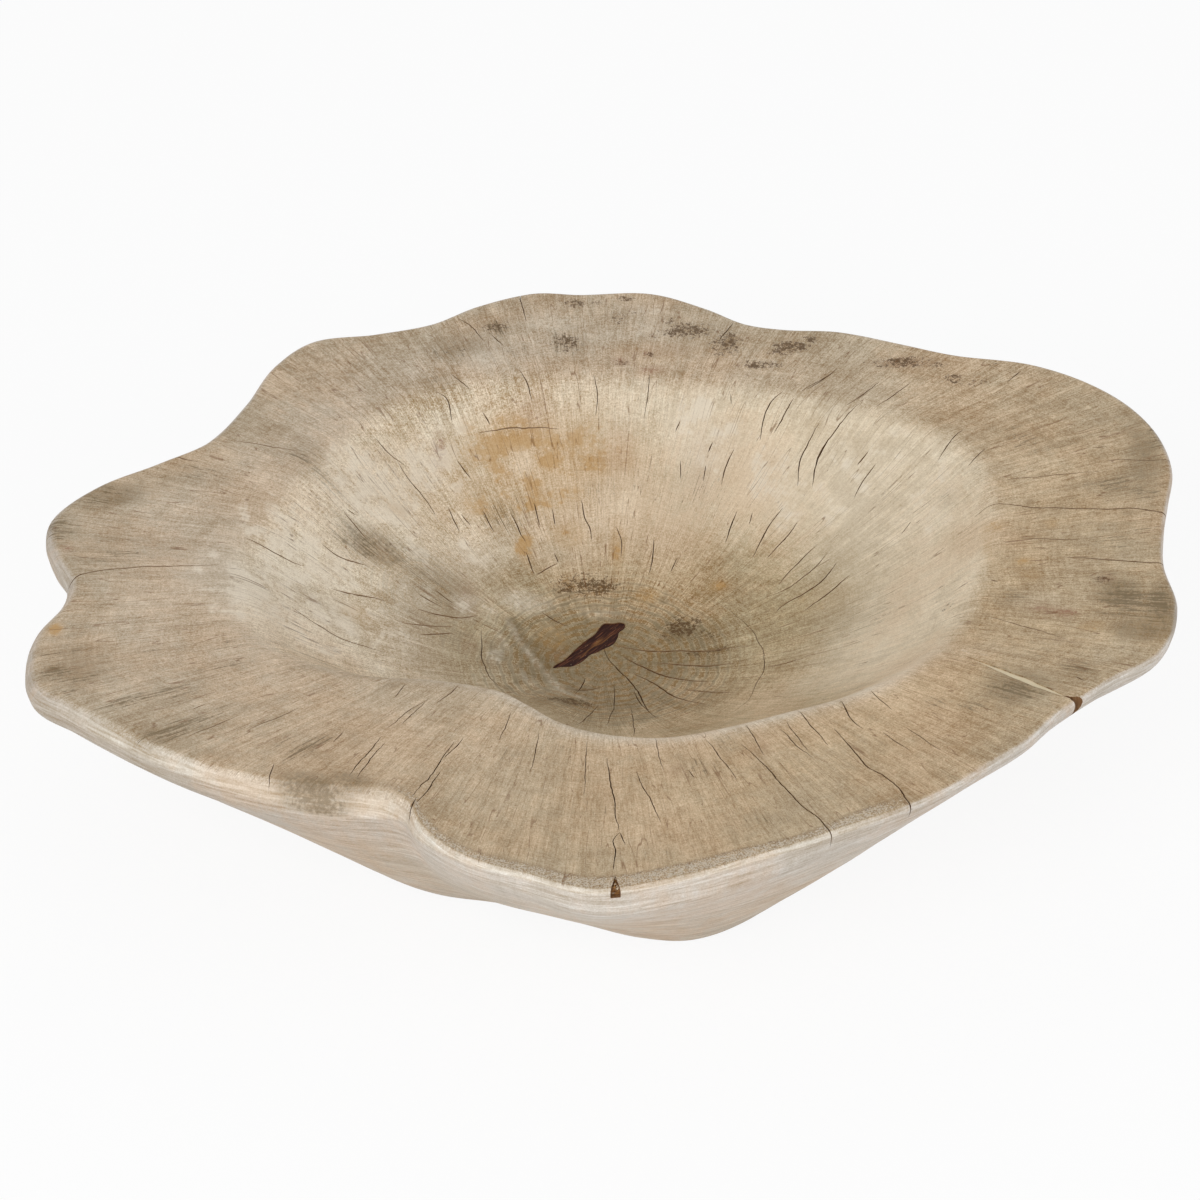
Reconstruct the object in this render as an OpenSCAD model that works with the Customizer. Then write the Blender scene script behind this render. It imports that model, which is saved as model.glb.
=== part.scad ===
// Free-form bowl carved from one slice of a lobed log, with filled voids.
// Millimetres. +Z is up, +X is right and -Y is the front, where the split front point is.
// The origin lies on the table, under the middle of the overall outline.

/* [Bowl] */
// Overall width from left to right
bowl_w = 600; // [520:5:760]
// Height of the outer part of the rim above the table
bowl_h = 120; // [105:1:170]
// Mean width of the flat underside
foot_w = 310; // [250:5:330]
// Radius between the flank and the flat underside
foot_r = 12; // [6:1:20]

/* [Rim] */
// How much lower the rim would lie at the heart of the log than at its outer edge
rim_fall = 22; // [8:1:34]
// Mean radius that rounds the top of the outer edge
edge_r = 8; // [4:0.5:12]
// Mean height of the upright outer edge under its rounding
edge_h = 10; // [5:0.5:16]
// How far the upright edge leans inwards
edge_lean = 1.5; // [0.5:0.5:4]
// Greatest swell of the flank past a straight line from the edge to the foot
flank_swell = 5; // [0:0.5:12]

/* [Hollow] */
// Mean width of the hollow where its wall meets the rim
hollow_w = 350; // [310:5:370]
// Thickness of the wood under the lowest point of the hollow
floor_t = 42; // [24:1:56]
// Greatest height over which the wall and the rim flow into each other
lip_blend = 12; // [6:1:24]

/* [Heart filling] */
// Length of the filled void at the heart of the log
heart_fill_l = 54; // [30:1:80]
// Greatest width of the filled void
heart_fill_w = 15; // [6:0.5:24]
// Depth of the void below the lowest point of the hollow
heart_fill_t = 12; // [5:1:18]
// Distance from the lowest point of the hollow to the middle of the void
heart_fill_gap = 17.5; // [5:0.5:30]

/* [Side split] */
// Width of the open notch at the right front edge
side_notch_w = 6; // [3:0.5:10]
// How far the notch reaches in from the edge
side_notch_l = 8; // [5:0.5:14]
// Depth of the notch below the rim
side_notch_t = 17; // [12:0.5:20]
// Length of the filled split, inwards from the notch
side_fill_l = 60; // [30:1:80]
// Greatest width of the filled split
side_fill_w = 4; // [2:0.5:7]
// Depth of the filled split below the outer part of the rim
side_fill_t = 12; // [8:0.5:13]
// Wood between the notch and the filled split
side_fill_gap = 1; // [0.5:0.5:4]

/* [Front split] */
// Width of the front split at the outer edge
front_split_w = 5; // [3:0.5:8]
// How far the front split reaches in from the edge
front_split_l = 12; // [7:0.5:16]
// Depth of the front split below the rim
front_split_t = 5; // [4:0.5:14]
// Distance from the outer edge to the filling of the front split
front_fill_set_back = 3; // [2.5:0.5:4.5]

/* [Fillings] */
// How far every filling lies below the wood round it
fill_recess = 0.5; // [0.3:0.1:1]

/* [Hidden] */

// Columns of the surface round the heart of the log
columns = 120;
// How steeply the hollow's wall climbs towards the lip
wall_power = 2.3;
// Directions of places as seen from the heart, in degrees
heart_fill_bearing = 115;
side_split_bearing = 330.9;
front_split_bearing = 271.1;
// Directions in which the voids run, in degrees
heart_fill_turn = 49;
side_fill_turn = 319;
// Overrun of every cut past the wood
cut_over = 6;
// Wood planed off under the foot, to leave it flat
foot_cut = 2;
// Steps between the points of the surface that tops a filling, and their shift off its middle,
// which keeps them off the corners of the outlines
fill_step = 3;
fill_shift = 0.37;

// Outlines as pairs of a direction in degrees and a share of half the width.
// Directions run anticlockwise from +X, seen from above, round the heart of the log.
rim_shares = [
    [3, 0.995], [8, 1.02], [14, 1.06], [21, 1.077], [28, 1.062], [36, 1.005], [43, 0.916],
    [49, 0.877], [58, 0.837], [64, 0.798], [70, 0.785], [76, 0.815], [84, 0.85], [93, 0.843],
    [99, 0.857], [107, 0.834], [114, 0.806], [122, 0.825], [129, 0.87], [136, 0.855],
    [145, 0.808], [155, 0.8], [162, 0.858], [168, 0.935], [174, 0.99], [178, 0.99],
    [182, 0.97], [186, 0.945], [190, 0.96], [194, 1.01], [198, 1.04], [203, 1.055],
    [207, 1.02], [213, 0.98], [222, 0.93], [234, 0.86], [242, 0.81], [246, 0.81],
    [249, 0.85], [255, 0.895], [262, 0.92], [269, 0.95], [278, 0.925], [286, 0.9],
    [295, 0.885], [301, 0.885], [311, 0.89], [316, 0.891], [322, 0.9], [328, 0.905],
    [336, 0.945], [342, 1.002], [350, 1.01], [357, 0.985]
];
lip_shares = [
    [11, 1.2], [26, 1.255], [36, 1.215], [51, 1.085], [67, 0.995], [83, 0.98], [99, 0.995],
    [116, 1.04], [132, 1.045], [148, 1.0], [164, 1.03], [179, 1.08], [195, 1.09],
    [205, 1.035], [216, 0.91], [228, 0.75], [241, 0.69], [251, 0.715], [261, 0.785],
    [270, 0.83], [281, 0.87], [294, 0.885], [306, 0.915], [317, 0.98], [331, 1.055],
    [343, 1.095], [356, 1.12]
];
foot_shares = [
    [25, 1.05], [56, 0.935], [88, 0.87], [121, 0.9], [154, 0.96], [185, 1.015], [205, 1.06],
    [220, 1.065], [233, 1.045], [240, 1.025], [249, 0.985], [257, 0.985], [267, 1.035],
    [276, 1.105], [284, 1.145], [294, 1.11], [308, 1.02], [331, 1.02], [355, 1.07]
];
// Height over which wall and rim flow together, as shares of its greatest value
lip_blend_shares = [
    [20, 0.45], [60, 0.8], [110, 1], [150, 1], [190, 0.9], [235, 1], [262, 0.5], [300, 0.5], [330, 0.45]
];
// Rounding and height of the outer edge, as shares of their mean values
edge_r_shares = [
    [0, 0.4], [60, 0.5], [120, 0.5], [165, 0.7], [180, 1], [205, 1.1], [225, 1.05],
    [238, 1.75], [246, 1.1], [253, 0.5], [262, 0.35], [300, 0.35], [320, 0.4], [345, 0.4]
];
edge_h_shares = [
    [0, 0.7], [60, 1], [120, 1.1], [165, 1], [180, 0.8], [205, 0.8], [225, 0.9],
    [240, 0.4], [250, 0.5], [262, 1.1], [272, 1.5], [282, 1.5],
    [298, 0.8], [309, 0.5], [320, 0.6], [345, 0.7]
];

// Swell of the flank, as shares of the greatest
swell_shares = [
    [20, 0.2], [120, 0.3], [200, 0.1], [224, 0], [244, 1.6], [256, 1.4], [270, 0.3], [284, 0.2],
    [303, 1], [313, 0.4], [325, 0.2]
];

// Rows of the surface, as shares of the way from the heart to the lip, and on to the edge
hollow_row_shares = [0.12, 0.25, 0.38, 0.5, 0.6, 0.69, 0.77, 0.84, 0.9, 0.95, 1];
rim_row_shares = [0.06, 0.13, 0.22, 0.34, 0.5, 0.67, 0.84, 1];
flank_row_shares = [0, 0.2, 0.4, 0.6, 0.8, 1];
// Directions on the roundings, in degrees from the upright and from the level
edge_turns = [22.5, 45, 67.5, 90];
foot_turns = [38, 56, 72];

// Outline of the void at the heart, as shares of half its length and half its width
heart_outline_shares = [
    [-1, 0.35], [-0.85, 0], [-0.73, -0.4], [-0.6, -0.58], [-0.4, -0.64], [-0.17, -0.54],
    [-0.04, -0.7], [0.16, -0.83], [0.38, -1], [0.6, -0.75], [0.74, -0.46], [0.88, -0.48],
    [1, -0.22], [0.98, 0.2], [0.86, 0.56], [0.75, 1], [0.58, 0.95], [0.4, 0.77],
    [0.22, 0.78], [0.04, 0.79], [-0.2, 0.69], [-0.43, 0.54], [-0.66, 0.44], [-0.88, 0.5]
];
// Outline of one side of the filled split, as shares of its length and half its width
side_outline_shares = [[0, 0.4], [0.18, 0.7], [0.36, 1], [0.55, 0.85], [0.78, 0.5], [1, 0.15]];

function half(size) = size / 2;
function full_turn(a) = (a % 360 + 360) % 360;

// Point number i of a closed table, where i may run past either end
function table_point(t, i) =
    let (turns = floor(i / len(t)), p = t[i - turns * len(t)])
    [p[0] + 360 * turns, p[1]];

// Smooth closed curve through the points of a table, read at direction a
function curve(t, a) =
    let (
        i = len([for (p = t) if (p[0] <= a) p]) - 1,
        p0 = table_point(t, i - 1),
        p1 = table_point(t, i),
        p2 = table_point(t, i + 1),
        p3 = table_point(t, i + 2),
        h = p2[0] - p1[0],
        slope1 = h * (p2[1] - p0[1]) / (p2[0] - p0[0]),
        slope2 = h * (p3[1] - p1[1]) / (p3[0] - p1[0]),
        s = (a - p1[0]) / h
    )
    p1[1] * (2 * s ^ 3 - 3 * s ^ 2 + 1) + slope1 * (s ^ 3 - 2 * s ^ 2 + s)
    + p2[1] * (3 * s ^ 2 - 2 * s ^ 3) + slope2 * (s ^ 3 - s ^ 2);

// Outline of the rim with shares taken as they are, and its extent
bearings = [for (k = [0:columns - 1]) 360 * k / columns];
outline = [for (a = bearings) curve(rim_shares, a) * [cos(a), sin(a)]];
outline_min = [min([for (p = outline) p[0]]), min([for (p = outline) p[1]])];
outline_max = [max([for (p = outline) p[0]]), max([for (p = outline) p[1]])];
rim_scale = bowl_w / (outline_max[0] - outline_min[0]);
heart = -rim_scale * (outline_min + outline_max) / 2;

// Distances from the heart, in direction a
function rim_d(a) = rim_scale * curve(rim_shares, a);
function lip_d(a) = half(hollow_w) * curve(lip_shares, a);
function foot_d(a) = half(foot_w) * curve(foot_shares, a);
function edge_r_at(a) = edge_r * curve(edge_r_shares, a);
function edge_h_at(a) = edge_h * curve(edge_h_shares, a);
function swell_at(a) = flank_swell * curve(swell_shares, a);
function lip_blend_at(a) = lip_blend * curve(lip_blend_shares, a);

// The lower of two heights, flowing into each other over height k
function blend_min(a, b, k) = min(a, b) - max(k - abs(a - b), 0) ^ 2 / (4 * k);

// Height of the upper surface at distance d from the heart, in direction a
function top_z(d, a) =
    let (
        flat_d = rim_d(a) - edge_r_at(a),
        rim_z = bowl_h - rim_fall * (1 - d / flat_d),
        lip_z = bowl_h - rim_fall * (1 - lip_d(a) / flat_d),
        wall_z = floor_t + (lip_z - floor_t) * (d / lip_d(a)) ^ wall_power
    )
    blend_min(rim_z, wall_z, lip_blend_at(a));

// Section in direction a, from the heart over the rim and down to the foot
function section(a) =
    let (
        lip = lip_d(a),
        edge = rim_d(a),
        r = edge_r_at(a),
        foot = foot_d(a),
        flank_top = [edge - edge_lean, bowl_h - r - edge_h_at(a)],
        turning = [for (t = foot_turns) [foot + foot_r * cos(t), foot_r * (1 - sin(t))]],
        flank_end = turning[0],
        last = turning[len(turning) - 1],
        cut_end = [foot - (last[0] - foot) * foot_cut / last[1], -foot_cut]
    )
    concat(
        [for (s = hollow_row_shares) [lip * s, top_z(lip * s, a)]],
        [for (s = rim_row_shares) let (d = lip + (edge - r - lip) * s) [d, top_z(d, a)]],
        [for (t = edge_turns) [edge - r + r * sin(t), bowl_h - r + r * cos(t)]],
        [for (s = flank_row_shares)
            flank_top + (flank_end - flank_top) * s + [swell_at(a) * 4 * s * (1 - s), 0]],
        [for (k = [1:len(turning) - 1]) turning[k]],
        [cut_end]
    );

// The carved block before its voids are cut
module block() {
    sections = [for (a = bearings) section(a)];
    rows = len(sections[0]);
    ring_points = [
        for (k = [0:rows - 1]) for (j = [0:columns - 1])
            [
                heart[0] + sections[j][k][0] * cos(bearings[j]),
                heart[1] + sections[j][k][0] * sin(bearings[j]),
                sections[j][k][1]
            ]
    ];
    middle = rows * columns;
    under = middle + 1;
    last = (rows - 1) * columns;
    points = concat(ring_points, [
        [heart[0], heart[1], floor_t],
        [heart[0], heart[1], -foot_cut]
    ]);
    faces = concat(
        [for (j = [0:columns - 1]) [middle, (j + 1) % columns, j]],
        [for (k = [0:rows - 2]) for (j = [0:columns - 1])
            [k * columns + j, k * columns + (j + 1) % columns, (k + 1) * columns + j]],
        [for (k = [0:rows - 2]) for (j = [0:columns - 1])
            let (next = (j + 1) % columns)
            [k * columns + next, (k + 1) * columns + next, (k + 1) * columns + j]],
        [for (j = [0:columns - 1]) [under, last + j, last + (j + 1) % columns]]
    );
    difference() {
        polyhedron(points, faces);
        translate([-bowl_w, -bowl_w, -foot_cut - cut_over])
            cube([2 * bowl_w, 2 * bowl_w, foot_cut + cut_over]);
    }
}

// Everything under the upper surface, lowered by the recess of the fillings, down to a low
// level. It covers an area of reach[0] by reach[1] round a place, turned by turn.
module under_surface(place, reach, turn, low) {
    nx = ceil(reach[0] / fill_step);
    ny = ceil(reach[1] / fill_step);
    plan = [
        for (j = [0:ny]) for (i = [0:nx])
            let (
                u = reach[0] * (i / nx - 1 / 2) + fill_shift,
                v = reach[1] * (j / ny - 1 / 2) + fill_shift
            )
            place + [u * cos(turn) - v * sin(turn), u * sin(turn) + v * cos(turn)]
    ];
    tops = [for (p = plan) [p[0], p[1], height_at(p) - fill_recess]];
    bottoms = [for (p = plan) [p[0], p[1], low]];
    n = len(plan);
    w = nx + 1;
    cells = [for (j = [0:ny - 1]) for (i = [0:nx - 1]) j * w + i];
    rim_walk = concat(
        [for (i = [0:nx - 1]) i],
        [for (j = [0:ny - 1]) j * w + nx],
        [for (i = [nx:-1:1]) ny * w + i],
        [for (j = [ny:-1:1]) j * w]
    );
    m = len(rim_walk);
    faces = concat(
        [for (c = cells) [c, c + w, c + 1]],
        [for (c = cells) [c + 1, c + w, c + w + 1]],
        [for (c = cells) [n + c, n + c + 1, n + c + w]],
        [for (c = cells) [n + c + 1, n + c + w + 1, n + c + w]],
        [for (k = [0:m - 1]) [rim_walk[k], rim_walk[(k + 1) % m], n + rim_walk[k]]],
        [for (k = [0:m - 1]) [rim_walk[(k + 1) % m], n + rim_walk[(k + 1) % m], n + rim_walk[k]]]
    );
    polyhedron(concat(tops, bottoms), faces);
}

// Height of the upper surface at a place in plan
function height_at(p) =
    let (q = p - heart)
    top_z(norm(q), full_turn(atan2(q[1], q[0])));

// Upright prism with an outline in its own turned plan, from a low level up past the wood
module prism(place, turn, low, outline) {
    translate([place[0], place[1], low])
        rotate([0, 0, turn])
            linear_extrude(bowl_h)
                polygon(outline);
}

// Void at the heart of the log
heart_fill_place = heart + heart_fill_gap * [cos(heart_fill_bearing), sin(heart_fill_bearing)];
heart_fill_low = floor_t - heart_fill_t;
module heart_void() {
    prism(heart_fill_place, heart_fill_turn, heart_fill_low, [
        for (p = heart_outline_shares) [p[0] * half(heart_fill_l), p[1] * half(heart_fill_w)]
    ]);
}

// Wedge that opens towards the outer edge, from its inner tip to a distance past the edge.
// With a negative distance it stops short of the edge.
module wedge(bearing, width, length, depth, past) {
    edge = rim_d(bearing);
    slope = half(width) / length;
    prism(heart, bearing, bowl_h - depth, [
        [edge - length, 0],
        [edge + past, -slope * (length + past)],
        [edge + past, slope * (length + past)]
    ]);
}

// Filled part of the side split, which runs inwards from the tip of the notch
side_toward = [cos(side_fill_turn), sin(side_fill_turn)];
side_tip_d = rim_d(side_split_bearing) - side_notch_l;
side_fill_end = heart + side_tip_d * [cos(side_split_bearing), sin(side_split_bearing)]
    - side_fill_gap * side_toward;
side_fill_low = bowl_h - side_fill_t;
module side_void() {
    near = [for (p = side_outline_shares) [-p[0] * side_fill_l, p[1] * half(side_fill_w)]];
    far = [for (k = [len(near) - 1:-1:0]) [near[k][0], -near[k][1]]];
    prism(side_fill_end, side_fill_turn, side_fill_low, concat(near, far));
}

// Carved block with the open notch and the pockets of the fillings
module bowl_body() {
    color("#c9b795")
        difference() {
            block();
            heart_void();
            wedge(side_split_bearing, side_notch_w, side_notch_l, side_notch_t, cut_over);
            side_void();
            wedge(front_split_bearing, front_split_w, front_split_l, front_split_t, cut_over);
        }
}

// Dark filler in the void at the heart
module heart_fill() {
    color("#3d2620")
        intersection() {
            heart_void();
            under_surface(
                heart_fill_place, [heart_fill_l + cut_over, heart_fill_w + cut_over],
                heart_fill_turn, heart_fill_low - cut_over
            );
        }
}

// Pale putty in the side split
module side_fill() {
    color("#cbb994")
        intersection() {
            side_void();
            under_surface(
                side_fill_end - half(side_fill_l) * side_toward,
                [side_fill_l + cut_over, side_fill_w + cut_over],
                side_fill_turn, side_fill_low - cut_over
            );
        }
}

// Brown crumbly filler in the front split
module front_fill() {
    middle_d = rim_d(front_split_bearing) - half(front_split_l);
    color("#8a6138")
        intersection() {
            wedge(
                front_split_bearing, front_split_w, front_split_l, front_split_t,
                -front_fill_set_back
            );
            under_surface(
                heart + middle_d * [cos(front_split_bearing), sin(front_split_bearing)],
                [front_split_l + cut_over, front_split_w + cut_over],
                front_split_bearing, bowl_h - front_split_t - cut_over
            );
        }
}

bowl_body();
heart_fill();
side_fill();
front_fill();
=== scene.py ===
"""A wide bowl carved from one slice of a lobed log, with its drying cracks and its fillings.

Tables give places as pixels of the photograph, or in millimetres from the middle of the outline,
or bearings in degrees round the heart of the log with shares of a size. The mesh is worked out in
millimetres and stored in metres.
"""

import random

import bmesh
import bpy
import numpy as np
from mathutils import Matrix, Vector, noise


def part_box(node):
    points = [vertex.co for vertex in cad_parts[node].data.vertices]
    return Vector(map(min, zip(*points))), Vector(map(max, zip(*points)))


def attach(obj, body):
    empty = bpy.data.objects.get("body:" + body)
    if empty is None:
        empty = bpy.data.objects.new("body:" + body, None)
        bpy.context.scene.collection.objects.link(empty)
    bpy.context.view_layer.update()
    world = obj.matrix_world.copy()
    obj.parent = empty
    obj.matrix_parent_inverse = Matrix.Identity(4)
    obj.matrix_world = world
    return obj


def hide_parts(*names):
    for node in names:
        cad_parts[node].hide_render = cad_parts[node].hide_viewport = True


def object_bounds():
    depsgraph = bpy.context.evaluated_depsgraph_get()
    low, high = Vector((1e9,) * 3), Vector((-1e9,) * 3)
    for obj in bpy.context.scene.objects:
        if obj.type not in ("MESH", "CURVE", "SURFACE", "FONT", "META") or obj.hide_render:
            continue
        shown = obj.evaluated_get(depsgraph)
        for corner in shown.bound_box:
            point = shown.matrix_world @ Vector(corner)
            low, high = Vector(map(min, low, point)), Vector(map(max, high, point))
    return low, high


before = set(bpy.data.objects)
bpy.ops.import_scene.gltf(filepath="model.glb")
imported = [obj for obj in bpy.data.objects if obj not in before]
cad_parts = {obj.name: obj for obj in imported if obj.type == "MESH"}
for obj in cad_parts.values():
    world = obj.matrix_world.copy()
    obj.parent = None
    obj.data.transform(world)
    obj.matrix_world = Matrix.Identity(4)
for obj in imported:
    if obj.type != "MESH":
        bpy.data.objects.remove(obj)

bl_info = {
    "name": "Carved Trunk Bowl",
    "version": (1, 0, 0),
    "blender": (4, 5, 0),
    "location": "View3D > Sidebar > Trunk Bowl",
    "description": "Builds a wide bowl carved from one slice of a lobed log",
    "category": "Add Mesh",
}

CAD_BOX = [list(corner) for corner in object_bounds()]
BODY_LOW, BODY_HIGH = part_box("bowl_body")

# Outlines round the heart: bearing, and share of half the width named beside each
RIM = [
    (3, 0.995), (8, 1.02), (14, 1.06), (21, 1.077), (28, 1.062), (36, 1.005), (43, 0.916),
    (49, 0.877), (58, 0.837), (64, 0.798), (70, 0.785), (76, 0.815), (84, 0.85), (93, 0.843),
    (99, 0.857), (107, 0.834), (114, 0.806), (122, 0.825), (129, 0.87), (136, 0.855),
    (145, 0.808), (155, 0.8), (162, 0.858), (168, 0.935), (174, 0.99), (178, 0.99),
    (182, 0.97), (186, 0.945), (190, 0.96), (194, 1.01), (198, 1.04), (203, 1.055),
    (207, 1.02), (213, 0.98), (222, 0.93), (234, 0.86), (242, 0.81), (246, 0.81),
    (249, 0.85), (255, 0.895), (262, 0.92), (269, 0.95), (278, 0.925), (286, 0.9),
    (295, 0.885), (301, 0.885), (311, 0.89), (316, 0.891), (322, 0.9), (328, 0.905),
    (336, 0.945), (342, 1.002), (350, 1.01), (357, 0.985),
]
LIP = [
    (11, 1.2), (26, 1.255), (36, 1.215), (51, 1.085), (67, 0.995), (83, 0.98), (99, 0.995),
    (116, 1.04), (132, 1.045), (148, 1.0), (164, 1.03), (179, 1.08), (195, 1.09),
    (205, 1.035), (216, 0.91), (228, 0.75), (241, 0.69), (251, 0.715), (261, 0.785),
    (270, 0.83), (281, 0.87), (294, 0.885), (306, 0.915), (317, 0.98), (331, 1.055),
    (343, 1.095), (356, 1.12),
]
FOOT = [
    (25, 1.05), (56, 0.935), (88, 0.87), (121, 0.9), (154, 0.96), (185, 1.015), (205, 1.06),
    (220, 1.065), (233, 1.045), (240, 1.025), (249, 0.985), (257, 0.985), (267, 1.035),
    (276, 1.105), (284, 1.145), (294, 1.11), (308, 1.02), (331, 1.02), (355, 1.07),
]
EDGE_RADIUS = [
    (0, 0.4), (60, 0.5), (120, 0.5), (165, 0.7), (180, 1), (205, 1.1), (225, 1.05),
    (238, 1.75), (246, 1.1), (253, 0.5), (262, 0.35), (300, 0.35), (320, 0.4), (345, 0.4),
]
EDGE_HEIGHT = [
    (0, 0.7), (60, 1), (120, 1.1), (165, 1), (180, 0.8), (205, 0.8), (225, 0.9),
    (240, 0.4), (250, 0.5), (262, 1.1), (272, 1.5), (282, 1.5),
    (298, 0.8), (309, 0.5), (320, 0.6), (345, 0.7),
]
SWELL = [
    (20, 0.2), (120, 0.3), (200, 0.1), (224, 0), (244, 1.6), (256, 1.4), (270, 0.3), (284, 0.2),
    (303, 1), (313, 0.4), (325, 0.2),
]
LIP_BLEND = [
    (20, 0.45), (60, 0.8), (110, 1), (150, 1), (190, 0.9), (235, 1), (262, 0.5), (300, 0.5),
    (330, 0.45),
]

# How the hollow's wall steepens away from the heart
WALL_POWER = 2.3
# Where the foot's rounding meets the flank, in degrees of its turn
FOOT_TURN = 38

# Void at the heart: share of half its length, share of half its width
HEART_OUTLINE = [
    (-1, 0.35), (-0.85, 0), (-0.73, -0.4), (-0.6, -0.58), (-0.4, -0.64), (-0.17, -0.54),
    (-0.04, -0.7), (0.16, -0.83), (0.38, -1), (0.6, -0.75), (0.74, -0.46), (0.88, -0.48),
    (1, -0.22), (0.98, 0.2), (0.86, 0.56), (0.75, 1), (0.58, 0.95), (0.4, 0.77),
    (0.22, 0.78), (0.04, 0.79), (-0.2, 0.69), (-0.43, 0.54), (-0.66, 0.44), (-0.88, 0.5),
]
# One side of the puttied split: share of its length, share of half its width
SPLIT_OUTLINE = [(0, 0.4), (0.18, 0.7), (0.36, 1), (0.55, 0.85), (0.78, 0.5), (1, 0.15)]
HEART_VOID_BEARING = 115
HEART_VOID_TURN = 49
NOTCH_BEARING = 330.9
SPLIT_TURN = 319
FRONT_SPLIT_BEARING = 271.1

# The photograph's view: a square frame, and a camera above the table. Millimetres and degrees
FRAME_PIXELS = 1200
VIEW_RISE = 36
VIEW_DISTANCE = 2400
VIEW_TARGET = (-7.5, -5, 100)
LENS = 137.6
SENSOR = 36

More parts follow.
